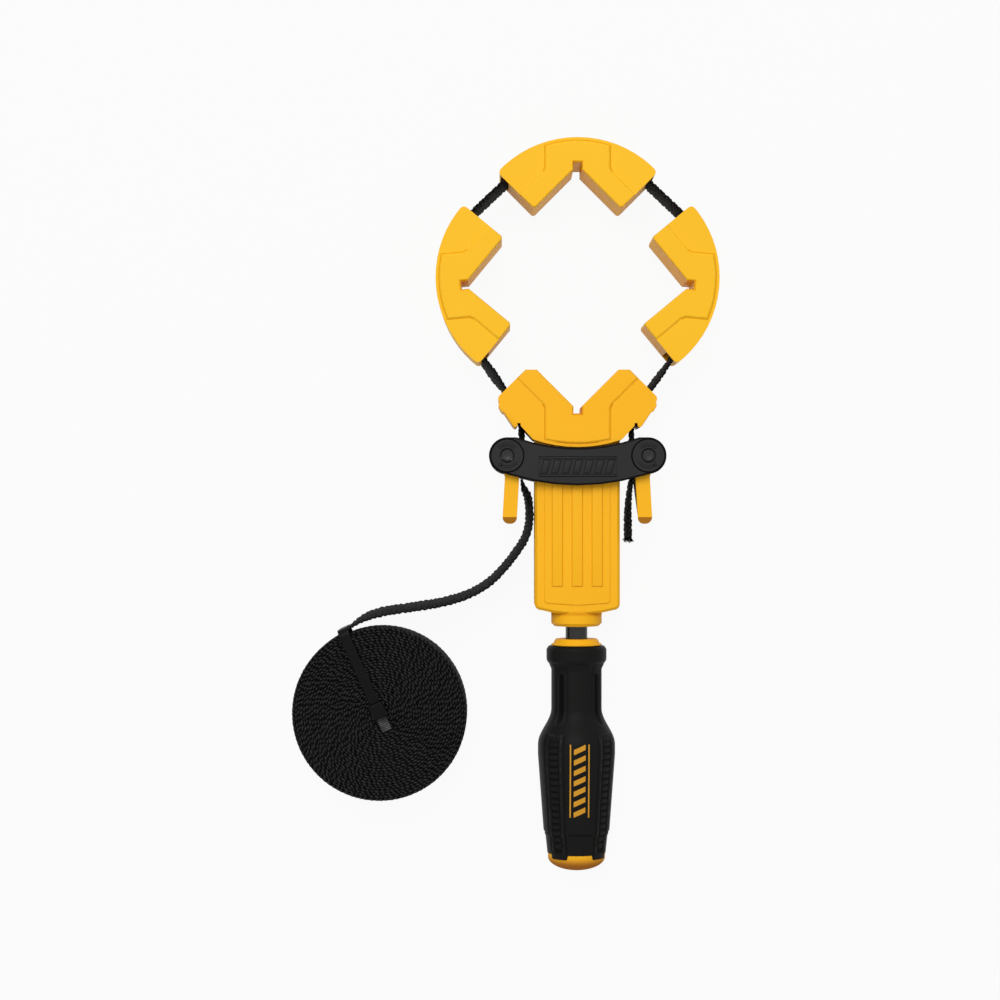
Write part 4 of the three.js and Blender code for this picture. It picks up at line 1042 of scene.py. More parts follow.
@dataclass
class FreeStrap:
    """Free end of the strap: its run from the left lock, its coil, and the tie that holds the coil."""

    ribbon: Ribbon
    start: Spot = (-25.6, 12.35, 18.0)
    route: Line = (
        (-25.4, 11.2), (-24.6, 8.4), (-22.9, 4.6), (-22.1, -0.8), (-22.0, -5.6), (-22.6, -10.4),
        (-24.3, -15.4), (-28.2, -21.5), (-33.4, -28.2), (-40.6, -35.4), (-50.0, -41.0), (-62.0, -44.8),
        (-77.3, -47.4), (-91.0, -49.6), (-99.0, -52.2), (-105.0, -55.9),
    )
    hub: Point = (-91.3, -96.2)
    coil_level: float = 14.5
    outer: float = 40.4
    coil_turns: float = 30.7
    outside_turns: int = 28
    fold_reach: float = 1.75
    fold_step: float = 1.28
    fold_bend: float = 1.2
    pitch: float = 1.25
    coil_start: float = 118.0
    coil_bead: float = 0.38
    coil_steps: int = 90
    slow_wave: Spot = (0.22, 2.4, 0.7)
    quick_wave: Spot = (0.14, 7.7, 1.3)
    wave_from: float = 0.6
    run_lean: float = 5.8
    lean_in: Point = (0.0, 0.06)
    lean_out: Point = (0.86, 0.99)
    press_span: Point = (0.9, 1.05)
    run_spacing: float = 0.5
    tie_angle: float = 114.4
    tie_width: float = 4.6
    tie_thick: float = 1.2
    tie_hub: float = 3.0
    tie_rim: float = 42.5
    tie_low: float = 0.9
    tie_high: float = 28.4
    tie_corner: float = 3.2
    tie_spacing: float = 0.6
    tie_round: float = 0.22
    head_size: Spot = (7.0, 7.0, 3.4)
    head_back: float = 1.3
    head_round: float = 0.45
    stub: float = 8.3
    stub_ridge: float = 0.95
    stub_levels: Point = (0.3, 0.32)
    stub_shade_and_highlight: Point = (-0.6, 1.0)

    def coil_line(self) -> list[Vector]:
        """Line of the coil, inwards from its rim, whose last turns pass inside the tie.

        Returns:
            Points of the line.
        """
        line = []
        (slow, slow_rate, bend), (quick, quick_rate, start) = self.slow_wave, self.quick_wave
        tie = Vector((math.cos(math.radians(self.tie_angle)), math.sin(math.radians(self.tie_angle))))
        for step in range(round(self.coil_turns * self.coil_steps) + 1):
            turn = step / self.coil_steps
            angle = math.radians(self.coil_start) + TURN * turn
            out = Vector((math.cos(angle), math.sin(angle))) * (self.outer - self.pitch * turn)
            inside = round(turn + (self.coil_start - self.tie_angle) / 360) - self.outside_turns
            if inside > 0:
                limit = self.fold_reach - self.fold_step * (inside - 1)
                reach = out.dot(tie)
                out += tie * ((limit - reach - math.hypot(reach - limit, self.fold_bend)) / 2)
            wave = slow * math.sin(slow_rate * turn + bend * math.sin(angle))
            wave += quick * math.sin(quick_rate * turn + start)
            level = self.coil_level + smoothstep(0.0, self.wave_from, turn) * wave
            line.append(Vector((*(Vector(self.hub) + out), level)))
        return line

    def run_line(self, entry: Vector) -> list[Vector]:
        """Line of the free run, sinking to the coil's level.

        Args:
            entry: Start of the coil.

        Returns:
            Points of the line, without the coil's start.
        """
        flat = [Vector((x, y, 0)) for x, y in (self.start[:2], *self.route, entry.xy)]
        line = flowing(flat, self.run_spacing)
        for step, point in enumerate(line):
            point.z = self.start[2] + (self.coil_level - self.start[2]) * step / (len(line) - 1)
        return line[:-1]

    def build(self) -> list[Object]:
        """Makes the free strap, its tie and the tie's stub.

        Returns:
            The pieces.
        """
        coil = self.coil_line()
        run = self.run_line(coil[0])
        line = [*run, *coil]
        lengths = [(far - near).length for near, far in zip(line, line[1:])]
        along = sum(lengths)
        share = sum(lengths[: len(run)]) / along
        ribbon = self.ribbon

        def lean(place: float) -> float:
            """Lean of the run, gone at both of its ends."""
            here = place / share
            return self.run_lean * smoothstep(*self.lean_in, here) * fade(*self.lean_out, here)

        def bead(place: float) -> float:
            """Bead of the edges, flattened in the coil."""
            return 1 - (1 - self.coil_bead) * smoothstep(*self.press_span, place / share)

        woven = ribbon.woven(line, lean, bead)
        strap = finished("free_strap", woven, WEBBING, Body.BRIDGE, ("strap_run", "strap_coil"), CLOTH_CREASE)
        tie = self.tie()
        # The stub wears the lighter copy of the tie's nylon, which paints light on it.
        stub = finished("coil_tie_stub", self.tie_stub(), TIE_PAINTED_LIGHT, Body.BRIDGE, (), FINE_CREASE)
        return [strap, tie, stub]

    def tie_line(self) -> list[Point]:
        """Closed line of the tie round one side of the coil.

        Returns:
            Distance from the hub and level of each point.
        """
        bend = self.tie_corner
        line: list[Point] = []
        corners = (
            ((self.tie_rim - bend, self.tie_high - bend), 90),
            ((self.tie_rim - bend, self.tie_low + bend), 0),
            ((self.tie_hub + bend, self.tie_low + bend), -90),
            ((self.tie_hub + bend, self.tie_high - bend), -180),
        )
        for centre, angle in corners:
            line += arc(centre, bend, angle, angle - 90, self.tie_spacing)
        return line

    def tie(self) -> Object:
        """Makes the tie: a band round the coil, and its head.

        Returns:
            The piece.
        """
        bm = bmesh.new()
        bm.loops.layers.float.new(EDGE)
        line = self.tie_line()
        half, deep = self.tie_width / 2, self.tie_thick / 2
        ring = ((-half, -deep), (half, -deep), (half, deep), (-half, deep))
        count, girth = len(line), len(ring)
        bmesh.ops.create_grid(bm, x_segments=count, y_segments=girth, size=0.5)
        for vert in bm.verts:
            at = round((vert.co.x + 0.5) * count) % count
            across, out = ring[round((vert.co.y + 0.5) * girth) % girth]
            ahead = Vector(line[(at + 1) % count]) - Vector(line[at - 1])
            side = Vector((-ahead.y, ahead.x)).normalized()
            vert.co = (across, line[at][0] + side.x * out, line[at][1] + side.y * out)
        welded(bm, SEAM)
        rounded(bm, keen_edges(bm, SHARP_ANGLE), self.tie_round)
        self.tie_head(bm)
        self.place_tie(bm)
        return weighted(finished("coil_tie_band", bm, TIE, Body.BRIDGE, ("coil_tie",), SMALL_CREASE))

    def tie_head(self, bm: BMesh) -> None:
        """Adds the head, a block with soft edges.

        Args:
            bm: Shape of the tie.
        """
        wide, long, tall = self.head_size
        made = bmesh.ops.create_cube(bm, size=1.0)["verts"]
        bmesh.ops.scale(bm, vec=(wide, long, tall), verts=made)
        level = self.tie_high - self.tie_thick / 2 + tall / 2
        bmesh.ops.translate(bm, vec=(0, self.tie_hub - self.head_back, level), verts=made)
        faces = {face for vert in made for face in vert.link_faces}
        edges = {edge for face in faces for edge in face.edges if edge.calc_face_angle(0.0) > 1.0}
        rounded(bm, list(edges), self.head_round, 3)

    def place_tie(self, bm: BMesh) -> None:
        """Turns and moves a shape from the tie's own place to the coil."""
        swung(bm, bm.verts, math.radians(self.tie_angle - 90))
        bmesh.ops.translate(bm, vec=(*self.hub, 0), verts=bm.verts)

    def tie_stub(self) -> BMesh:
        """Makes the cut stub with its ridges.

        Returns:
            The shape.
        """
        bm = bmesh.new()
        mark = bm.verts.layers.float.new(EDGE)
        (sunk, rise), level = self.stub_levels, self.tie_high - self.tie_thick / 2
        count = round((self.stub + self.tie_hub) / self.stub_ridge) * 2
        made = bmesh.ops.create_grid(bm, x_segments=2, y_segments=count, size=0.5)["verts"]
        for vert in made:
            rank = round((vert.co.y + 0.5) * count)
            ridge = rank % 2
            # Painted shade in the grooves and painted highlight on the ridges.
            vert[mark] = self.stub_shade_and_highlight[ridge]
            high = level + self.tie_thick - sunk + rise * ridge
            vert.co = (vert.co.x * self.tie_width, self.tie_hub - self.stub_ridge / 2 * rank, high)
        lifted = bmesh.ops.extrude_face_region(bm, geom=list(bm.faces))["geom"]
        for vert in lifted:
            if isinstance(vert, BMVert):
                vert.co.z = level
        bmesh.ops.recalc_face_normals(bm, faces=bm.faces)
        self.place_tie(bm)
        return bm


@dataclass
class StrapLoop:
    """Strap round the four jaws and through the two locks."""

    ribbon: Ribbon
    bed: float = 45.0
    head_bed: float = 41.0
    top_centre: Point = (0.0, 119.65)
    side_centre: Point = (-15.271, 105.256)
    head_centre: Point = (0.0, 77.25)
    up_run: Point = (0.727686, 0.68591)
    down_run: Point = (0.585043, -0.811002)
    insert: float = 1.5
    top_half: float = 29.1
    lock_x: float = 25.6
    lock_top: float = 56.88
    lock_middle: float = 34.0
    lock_foot: float = 12.65
    tail: Line = ((24.8, 7.92), (24.0, -1.55), (24.0, -14.6))
    tail_lean: float = 3.0
    tail_span: Point = (0.62, 0.95)
    tail_spacing: float = 0.5
    left_lean: Line = ((0.2, -2.5), (0.6, 1.5), (0.76, 1.8), (0.84, 5.0), (0.91, 6.2), (1.0, 2.5))
    right_lean: Line = ((0.2, 0.3), (0.6, 2.0), (0.76, 4.0), (0.84, 1.6), (0.93, 4.0), (1.0, 3.0))
    lock_lean: Line = ((0.54, -5.0), (0.68, 0.0))
    fray: int = 26
    fray_sides: int = 6
    fray_rates: Spot = (2.4, 5.1, 3.7)
    fray_ends: Point = (0.42, 0.16)
    fray_length: Point = (2.6, 0.8)
    fray_turn: Point = (0.75, 0.3)
    fray_spread: Spot = (0.8, -0.9, 0.96)

    def side_line(self, side: Side) -> list[Vector]:
        """Line over one side jaw, from inside the far jaw to inside the head.

        Args:
            side: Side of the clamp.

        Returns:
            Points of the line.
        """
        up, down = Vector(self.up_run), Vector(self.down_run)
        out_up, out_down = Vector((-up.y, up.x)), Vector((down.y, -down.x))
        first = Vector(self.top_centre) + out_up * self.bed + up * self.insert
        last = Vector(self.head_centre) + out_down * self.head_bed + down * self.insert
        start = math.degrees(math.atan2(out_up.y, out_up.x))
        end = math.degrees(math.atan2(out_down.y, out_down.x)) + 360
        flat = [first, *[Vector(p) for p in arc(self.side_centre, self.bed, start, end)], last]
        return [Vector((-side.value * p.x, p.y, MID)) for p in flat]

    def build(self) -> list[Object]:
        """Makes the strap's stretches.

        Returns:
            The pieces.
        """
        crown = arc(self.top_centre, self.bed, 90 - self.top_half, 90 + self.top_half)
        over = [Vector((*p, MID)) for p in crown]
        made = [self.stretch("strap_over_top", over, Body.TOP_CORNER, "strap_top")]
        for side, body, lean in (
            (Side.LEFT, Body.LEFT_CORNER, self.left_lean), (Side.RIGHT, Body.RIGHT_CORNER, self.right_lean)
        ):
            name = side.name.lower()
            made.append(self.stretch(f"strap_over_{name}", self.side_line(side), body, f"strap_{name}", lean))
        inner = [Vector((-self.lock_x, level, MID)) for level in (self.lock_top, self.lock_foot)]
        made.append(self.stretch("strap_in_left_lock", inner, Body.BRIDGE, "strap_lock_left", self.lock_lean))
        made.append(self.tail_piece())
        return made

    def stretch(
        self, name: str, line: Sequence[Vector], body: Body, node: str, lean: Sequence[Point] = ((0.0, 0.0),)
    ) -> Object:
        """Makes one stretch of strap, whose lean eases between knots of share and degrees."""
        bm = self.ribbon.woven(line, lambda share: eased(lean, share))
        return finished(name, bm, WEBBING, body, (node,), CLOTH_CREASE)

    def tail_piece(self) -> Object:
        """Makes the stretch in the right lock with its short frayed tail.

        Returns:
            The piece.
        """
        levels = (self.lock_top, self.lock_middle, self.lock_foot)
        knots = [*((self.lock_x, level) for level in levels), *self.tail]
        line = flowing([Vector((*p, MID)) for p in knots], self.tail_spacing)
        bm = self.ribbon.woven(line, lambda share: self.tail_lean * smoothstep(*self.tail_span, share))
        self.add_fray(bm, line[-1])
        return finished("strap_in_right_lock", bm, WEBBING, Body.BRIDGE, ("strap_lock_right",), CLOTH_CREASE)

    def add_fray(self, bm: BMesh, end: Vector) -> None:
        """Adds loose strands to the cut end.

        Args:
            bm: Shape of the tail.
            end: Middle of the cut end.
        """
        tall, tip = self.ribbon.width / 2, math.radians(self.tail_lean)
        (broad, thin), (length, vary), (turn, nod) = self.fray_ends, self.fray_length, self.fray_turn
        aside, ahead, reach = self.fray_spread
        for strand in range(self.fray):
            share = (strand + 0.5) / self.fray * 2 - 1
            spread, stretch, dip = (strand * rate for rate in self.fray_rates)
            depth = length + vary * math.sin(stretch)
            made = bmesh.ops.create_cone(
                bm, cap_ends=True, segments=self.fray_sides, radius1=broad, radius2=thin, depth=depth
            )["verts"]
            swung(bm, made, math.pi / 2, "X")
            swung(bm, made, nod * math.cos(dip), "X")
            swung(bm, made, turn * math.sin(spread))
            across = share * tall * math.sin(tip) + aside * math.sin(spread)
            place = (end.x + across, end.y + ahead, end.z + share * tall * reach)
            bmesh.ops.translate(bm, vec=place, verts=made)


@dataclass
class CornerJaws:
    """Three loose jaws with soft moulded edges."""

    top_y: float = 156.75
    side_x: float = 52.2
    side_y: float = 101.7
    tilt: float = 5.5
    edge_round: float = 0.3

    def build(self) -> list[Object]:
        """Makes the three jaws.

        Returns:
            The pieces.
        """
        made = []
        for node, body, place, angle in (
            ("top_jaw", Body.TOP_CORNER, (0, self.top_y), 0.0),
            ("left_jaw", Body.LEFT_CORNER, (-self.side_x, self.side_y), 90 + self.tilt),
            ("right_jaw", Body.RIGHT_CORNER, (self.side_x, self.side_y), -90 - self.tilt),
        ):
            bm = copied("top_jaw")
            softened(bm, self.edge_round)
            bmesh.ops.translate(bm, vec=(0, -self.top_y, 0), verts=bm.verts)
            swung(bm, bm.verts, math.radians(angle))
            bmesh.ops.translate(bm, vec=(*place, 0), verts=bm.verts)
            made.append(weighted(finished(f"{node}_moulding", bm, YELLOW, body, (node,))))
        return made


@dataclass
class ClampHead:
    """Head with its two shells, their screws, the barrel's strips and the strap guards."""

    edge_round: float = 0.3
    screws: tuple[tuple[str, float, float, float], ...] = (
        ("jaw_left", -11.0, 36.95, 1.5), ("jaw_right", 11.0, 36.95, 1.5),
        ("foot_left", -14.2, -42.35, 5.3), ("foot_right", 14.2, -42.35, 5.3),
    )
    screw_sink: float = 1.0
    screw_head: Point = (2.8, 2.2)
    screw_shank: float = 1.5
    screw_tip: float = 27.0
    screw_point: float = 1.2
    screw_rounds: Point = (0.4, 0.15)
    screw_sides: int = 24
    key: Point = (1.35, 1.3)
    key_land: float = 0.45
    strips: tuple[float, ...] = (-9.2, 0.0, 9.2)
    strip_width: float = 4.3
    strip_span: Point = (-36.9, 27.75)
    strip_levels: Point = (30.08, 30.76)
    strip_skirt: float = 0.45
    collar_cuts: Point = (-49.95, -51.6)
    collar_line: Point = (-50.2, -49.5)
    line_shade: float = -0.8
    guard: Line = (
        (36.2, 47.9), (36.4, 46.1), (35.1, 43.7), (33.9, 43.1), (29.8, 37.0), (28.6, 35.9), (27.6, 37.1),
        (27.6, 39.4), (34.9, 47.2),
    )
    guard_levels: Line = ((2.04, 17.9), (18.1, 33.66))

    def build(self) -> list[Object]:
        """Makes the head.

        Returns:
            The pieces.
        """
        made = []
        for node in ("head_front_shell", "head_rear_shell"):
            bm = copied(node)
            softened(bm, self.edge_round)
            self.shade_collar(bm)
            made.append(weighted(finished(f"{node}_moulding", bm, AMBER, Body.HEAD, (node,))))
        bm = bmesh.new()
        (near, far), (low, high) = self.strip_span, self.strip_levels
        for x in self.strips:
            place = (x, (near + far) / 2, (low + high) / 2)
            block(bm, place, (self.strip_width, far - near, high - low), skirt=self.strip_skirt)
        made.append(finished("barrel_strips", bm, AMBER, Body.HEAD))
        made.append(finished("strap_guards", self.guards(), AMBER, Body.HEAD))
        for name, x, y, rear in self.screws:
            bm = self.screw(x, y, rear + self.screw_sink)
            node = f"shell_screw_{name}"
            made.append(finished(f"screw_{name}", bm, STEEL, Body.HEAD, (node,), SMALL_CREASE))
        return made

    def shade_collar(self, bm: BMesh) -> None:
        """Paints shade along the line where the collar leaves the barrel.

        Args:
            bm: Copy of a shell.
        """
        for station in self.collar_cuts:
            whole = [*bm.verts, *bm.edges, *bm.faces]
            bmesh.ops.bisect_plane(bm, geom=whole, dist=SEAM, plane_co=(0, station, 0), plane_no=AXIS)
        low, high = self.collar_line
        shaded(bm, self.line_shade, lambda loop: low < loop.vert.co.y < high)

    def guards(self) -> BMesh:
        """Makes the guards beside the strap's two exits, in two halves as the shells are.

        Returns:
            The shape.
        """
        bm = bmesh.new()
        for side in Side:
            for low, high in self.guard_levels:
                face = bm.faces.new([bm.verts.new((side.value * x, y, low)) for x, y in self.guard])
                lifted = bmesh.ops.extrude_face_region(bm, geom=[face])["geom"]
                top = [item for item in lifted if isinstance(item, BMVert)]
                bmesh.ops.translate(bm, vec=(0, 0, high - low), verts=top)
        bmesh.ops.recalc_face_normals(bm, faces=bm.faces)
        rounded(bm, keen_edges(bm, SHARP_ANGLE), self.edge_round)
        return bm

    def screw(self, x: float, y: float, low: float) -> BMesh:
        """Makes a screw, head down, with a six-sided key recess.

        Args:
            x: Place of its axis.
            y: Place of its axis.
            low: Level of the outer face of its head.

        Returns:
            The shape.
        """
        (head, tall), (key, deep) = self.screw_head, self.key
        (outer, inner), seat, shank = self.screw_rounds, low + tall, self.screw_shank
        profile = [
            (key + self.key_land, low), (head - outer, low), (head, low + outer), (head, seat - inner),
            (head - inner, seat), (shank, seat), (shank, self.screw_tip - self.screw_point),
            (0.0, self.screw_tip),
        ]
        bm = upright(profile, x, y, self.screw_sides)
        rim = [edge for edge in bm.edges if edge.is_boundary]
        made = bmesh.ops.create_circle(bm, cap_ends=False, segments=self.screw_sides, radius=key)["verts"]
        for vert in made:
            angle = math.atan2(vert.co.y, vert.co.x) % (TURN / 6) - TURN / 12
            vert.co *= math.cos(TURN / 12) / math.cos(angle)
        bmesh.ops.translate(bm, vec=(x, y, low), verts=made)
        recess = list({edge for vert in made for edge in vert.link_edges})
        bmesh.ops.bridge_loops(bm, edges=[*rim, *recess])
        walls = bmesh.ops.extrude_edge_only(bm, edges=recess)["geom"]
        floor = [item for item in walls if isinstance(item, BMVert)]
        bmesh.ops.translate(bm, vec=(0, 0, deep), verts=floor)
        bmesh.ops.holes_fill(bm, edges=[edge for edge in bm.edges if edge.is_boundary], sides=0)
        bmesh.ops.recalc_face_normals(bm, faces=bm.faces)
        return bm


@dataclass
class LockBridge:
    """Bridge that carries both locks: plates, yoke, pins, clips and the marks on its face."""

    edge_round: float = 0.4
    least_angle: float = 24.0
    pivot: Point = (32.4, 23.15)
    sides: int = 48
    pin_line: Line = (
        (0.0, 0.3), (2.1, 0.3), (2.5, 0.7), (2.5, 35.7), (2.7, 35.7), (2.7, 36.75), (2.6, 36.95),
        (2.35, 37.1), (1.9, 37.1), (1.65, 36.9), (0.0, 36.75),
    )
    clip_line: Line = (
        (3.2, 0.85), (4.1, 0.6), (4.85, 0.6), (5.0, 0.75), (5.0, 1.65), (4.85, 1.8), (3.9, 1.8), (3.2, 1.45),
    )
    prongs: int = 6
    prong_place: Spot = (2.95, 0.0, 1.2)
    prong_size: Spot = (0.9, 1.5, 0.5)
    ring_line: Line = ((7.2, 35.5), (7.2, 36.4), (7.95, 36.03), (7.95, 35.5))
    ring_sides: int = 72
    rim_level: float = 34.9
    rim_facing: float = 0.95
    rim_shade: float = -0.75
    rule_half: float = 17.3
    rule_levels: Point = (14.0, 22.1)
    rule_width: float = 0.55
    rule_skirt: float = 0.35
    mark_levels: Point = (35.47, 36.0)
    mark_bars: int = 7
    bar_share: float = 0.5
    bar_gap: float = 2.6
    bar_slant: float = 0.3
    bar_skirt: float = 0.4
    sign_levels: Point = (36.68, 37.0)
    arrow_round: float = 5.2
    arrow_halves: Point = (0.6, 0.25)
    arrow_span: Point = (-35.0, -125.0)
    arrow_steps: int = 18
    arrow_tip: Point = (1.5, 0.95)
    ticks: int = 6
    tick_step: float = 16.0
    tick_width: float = 0.5
    tick_lengths: Point = (1.0, 1.5)
    tick_skirt: float = 0.3

    def build(self) -> list[Object]:
        """Makes the bridge.

        Returns:
            The pieces.
        """
        made = []
        for node in ("bridge_front_plate", "bridge_rear_plate", "yoke"):
            bm = copied(node)
            rounded(bm, keen_edges(bm, self.least_angle), self.edge_round)
            self.shade_rims(bm)
            made.append(weighted(finished(f"{node}_moulding", bm, BLACK, Body.BRIDGE, (node,))))
        for side in Side:
            name = side.name.lower()
            x, y = side.value * self.pivot[0], self.pivot[1]
            pin, clip = upright(self.pin_line, x, y, self.sides), self.clip(x, y)
            made += [
                finished(f"pin_{name}", pin, DARK_STEEL, Body.BRIDGE, (f"pivot_pin_{name}",), FINE_CREASE),
                finished(f"clip_{name}", clip, STEEL, Body.BRIDGE, (f"pin_clip_{name}",), FINE_CREASE),
                finished(f"swing_marks_{name}", self.swing_marks(side), BLACK, Body.BRIDGE),
                finished(f"boss_ring_{name}", self.boss_ring(x, y), BLACK, Body.BRIDGE),
            ]
        made.append(finished("face_marks", self.face_marks(), BLACK, Body.BRIDGE))
        return made

    def clip(self, x: float, y: float) -> BMesh:
        """Makes a push-on clip: a dished ring whose prongs grip the pin.

        Args:
            x: Place of its axis.
            y: Place of its axis.

        Returns:
            The shape.
        """
        bm = upright(self.clip_line, x, y, self.sides, closed=True)
        for prong in range(self.prongs):
            made = block(bm, self.prong_place, self.prong_size)
            swung(bm, made, TURN * prong / self.prongs)
            bmesh.ops.translate(bm, vec=(x, y, 0), verts=made)
        return bm

    def swing_marks(self, side: Side) -> BMesh:
        """Makes the raised marks on a boss: a curved arrow for the lever's swing, and ticks above the pin.

        Args:
            side: Side of the clamp.

        Returns:
            The shape.
        """
        bm = bmesh.new()
        mark = bm.verts.layers.float.new(EDGE)
        radius, (low, high), (broad, thin) = self.arrow_round, self.sign_levels, self.arrow_halves
        middle = (low + high) / 2
        ring = ((radius - broad, low), (radius + broad, low), (radius + thin, high), (radius - thin, high))
        face = bm.faces.new([bm.verts.new((out, 0, level)) for out, level in ring])
        start, end = (math.radians(angle) for angle in self.arrow_span)
        swung(bm, bm.verts, start)
        bmesh.ops.spin(
            bm, geom=[face], cent=ORIGIN, axis=UP, angle=end - start, steps=self.arrow_steps, use_merge=False
        )
        before = set(bm.verts)
        tip, top = self.arrow_tip
        bmesh.ops.create_cone(bm, cap_ends=True, segments=3, radius1=tip, radius2=top, depth=high - low)
        point = [vert for vert in bm.verts if vert not in before]
        bmesh.ops.translate(bm, vec=(radius, 0, middle), verts=point)
        swung(bm, point, end)
        for vert in bm.verts:
            vert[mark] = 0.0 if vert.co.z > middle else FOOT_SHADE
        for tick in range(self.ticks):
            size = (self.tick_width, self.tick_lengths[tick % 2], high - low)
            made = block(bm, (0, radius, middle), size, skirt=self.tick_skirt)
            swung(bm, made, math.radians(self.tick_step * (tick - (self.ticks - 1) / 2)))
        if side is Side.RIGHT:
            bmesh.ops.scale(bm, vec=(-1, 1, 1), verts=bm.verts)
        welded(bm)
        bmesh.ops.translate(bm, vec=(side.value * self.pivot[0], self.pivot[1], 0), verts=bm.verts)
        return bm

    def shade_rims(self, bm: BMesh) -> None:
        """Paints shade on the sloped rims of the front plate, its bosses and its recess.

        Args:
            bm: Copy of a plate.
        """

        def sloped(loop: BMLoop) -> bool:
            """Whether a corner is on a sloped face near the top."""
            return loop.face.normal.z < self.rim_facing and loop.face.calc_center_median().z > self.rim_level

        shaded(bm, self.rim_shade, sloped)

    def boss_ring(self, x: float, y: float) -> BMesh:
        """Makes a fillet round the foot of a boss, all of it in painted shade.

        Args:
            x: Place of the pin's axis.
            y: Place of the pin's axis.

        Returns:
            The shape.
        """
        bm = upright(self.ring_line, x, y, self.ring_sides, closed=True)
        mark = bm.verts.layers.float.new(EDGE)
        for vert in bm.verts:
            vert[mark] = FOOT_SHADE
        return bm

    def face_marks(self) -> BMesh:
        """Makes the raised marks in the plate's recess: two rules with slanted bars between them.

        Returns:
            The shape.
        """
        bm = bmesh.new()
        (low, high), (foot, top) = self.rule_levels, self.mark_levels
        level, rise = (foot + top) / 2, top - foot
        for station in (low, high):
            block(bm, (0, station, level), (2 * self.rule_half, self.rule_width, rise), skirt=self.rule_skirt)
        pitch = 2 * self.rule_half / self.mark_bars
        for bar in range(self.mark_bars):
            place = (pitch * (bar + 0.5) - self.rule_half, (low + high) / 2, level)
            size = (pitch * self.bar_share, high - low - self.bar_gap, rise)
            block(bm, place, size, self.bar_slant, self.bar_skirt)
        return bm


@dataclass
class CamLevers:
    """Two cam levers with soft thumb arms."""

    edge_round: float = 0.4
    least_angle: float = 28.0
    arm: Point = (13.6, -7.35)
    arm_levels: Point = (5.0, 31.0)
    arm_lean: float = 1.05
    arm_reach: float = 0.9
    arm_draft: float = 1.8
    tip_from: float = 12.6
    tip_facing: float = -0.4
    tip_shade: float = -0.7
    wall_facing: float = -0.03

    def build(self) -> list[Object]:
        """Makes both levers.

        Returns:
            The pieces.
        """
        made = []
        for side, body in ((Side.LEFT, Body.LEFT_LEVER), (Side.RIGHT, Body.RIGHT_LEVER)):
            node = f"lock_lever_{side.name.lower()}"
            bm = copied(node)
            self.draw_arm(bm, side)
            rounded(bm, keen_edges(bm, self.least_angle), self.edge_round)
            made.append(weighted(finished(f"{node}_moulding", bm, AMBER_PAINTED_SHADE, body, (node,))))
        return made

    def draw_arm(self, bm: BMesh, side: Side) -> None:
        """Draws the arm out and in towards its tip, tapers its inner wall, and paints shade on the end faces
        at its tip.

        Args:
            bm: Copy of a lever.
            side: Side of the clamp.
        """
        (root, tip), (low, high) = self.arm, self.arm_levels
        bm.normal_update()

        def at_tip(loop: BMLoop) -> bool:
            """Whether a corner is on a face at the arm's tip."""
            return loop.face.normal.y < self.tip_facing and loop.face.calc_center_median().y < self.tip_from

        shaded(bm, self.tip_shade, at_tip)
        for vert in bm.verts:
            share = max(0.0, (root - vert.co.y) / (root - tip))
            draft = self.arm_draft if vert.normal.x * side.value < self.wall_facing else 0.0
            inward = self.arm_lean - draft * (high - vert.co.z) / (high - low)
            vert.co.x -= side.value * share * inward
            vert.co.y -= share * self.arm_reach


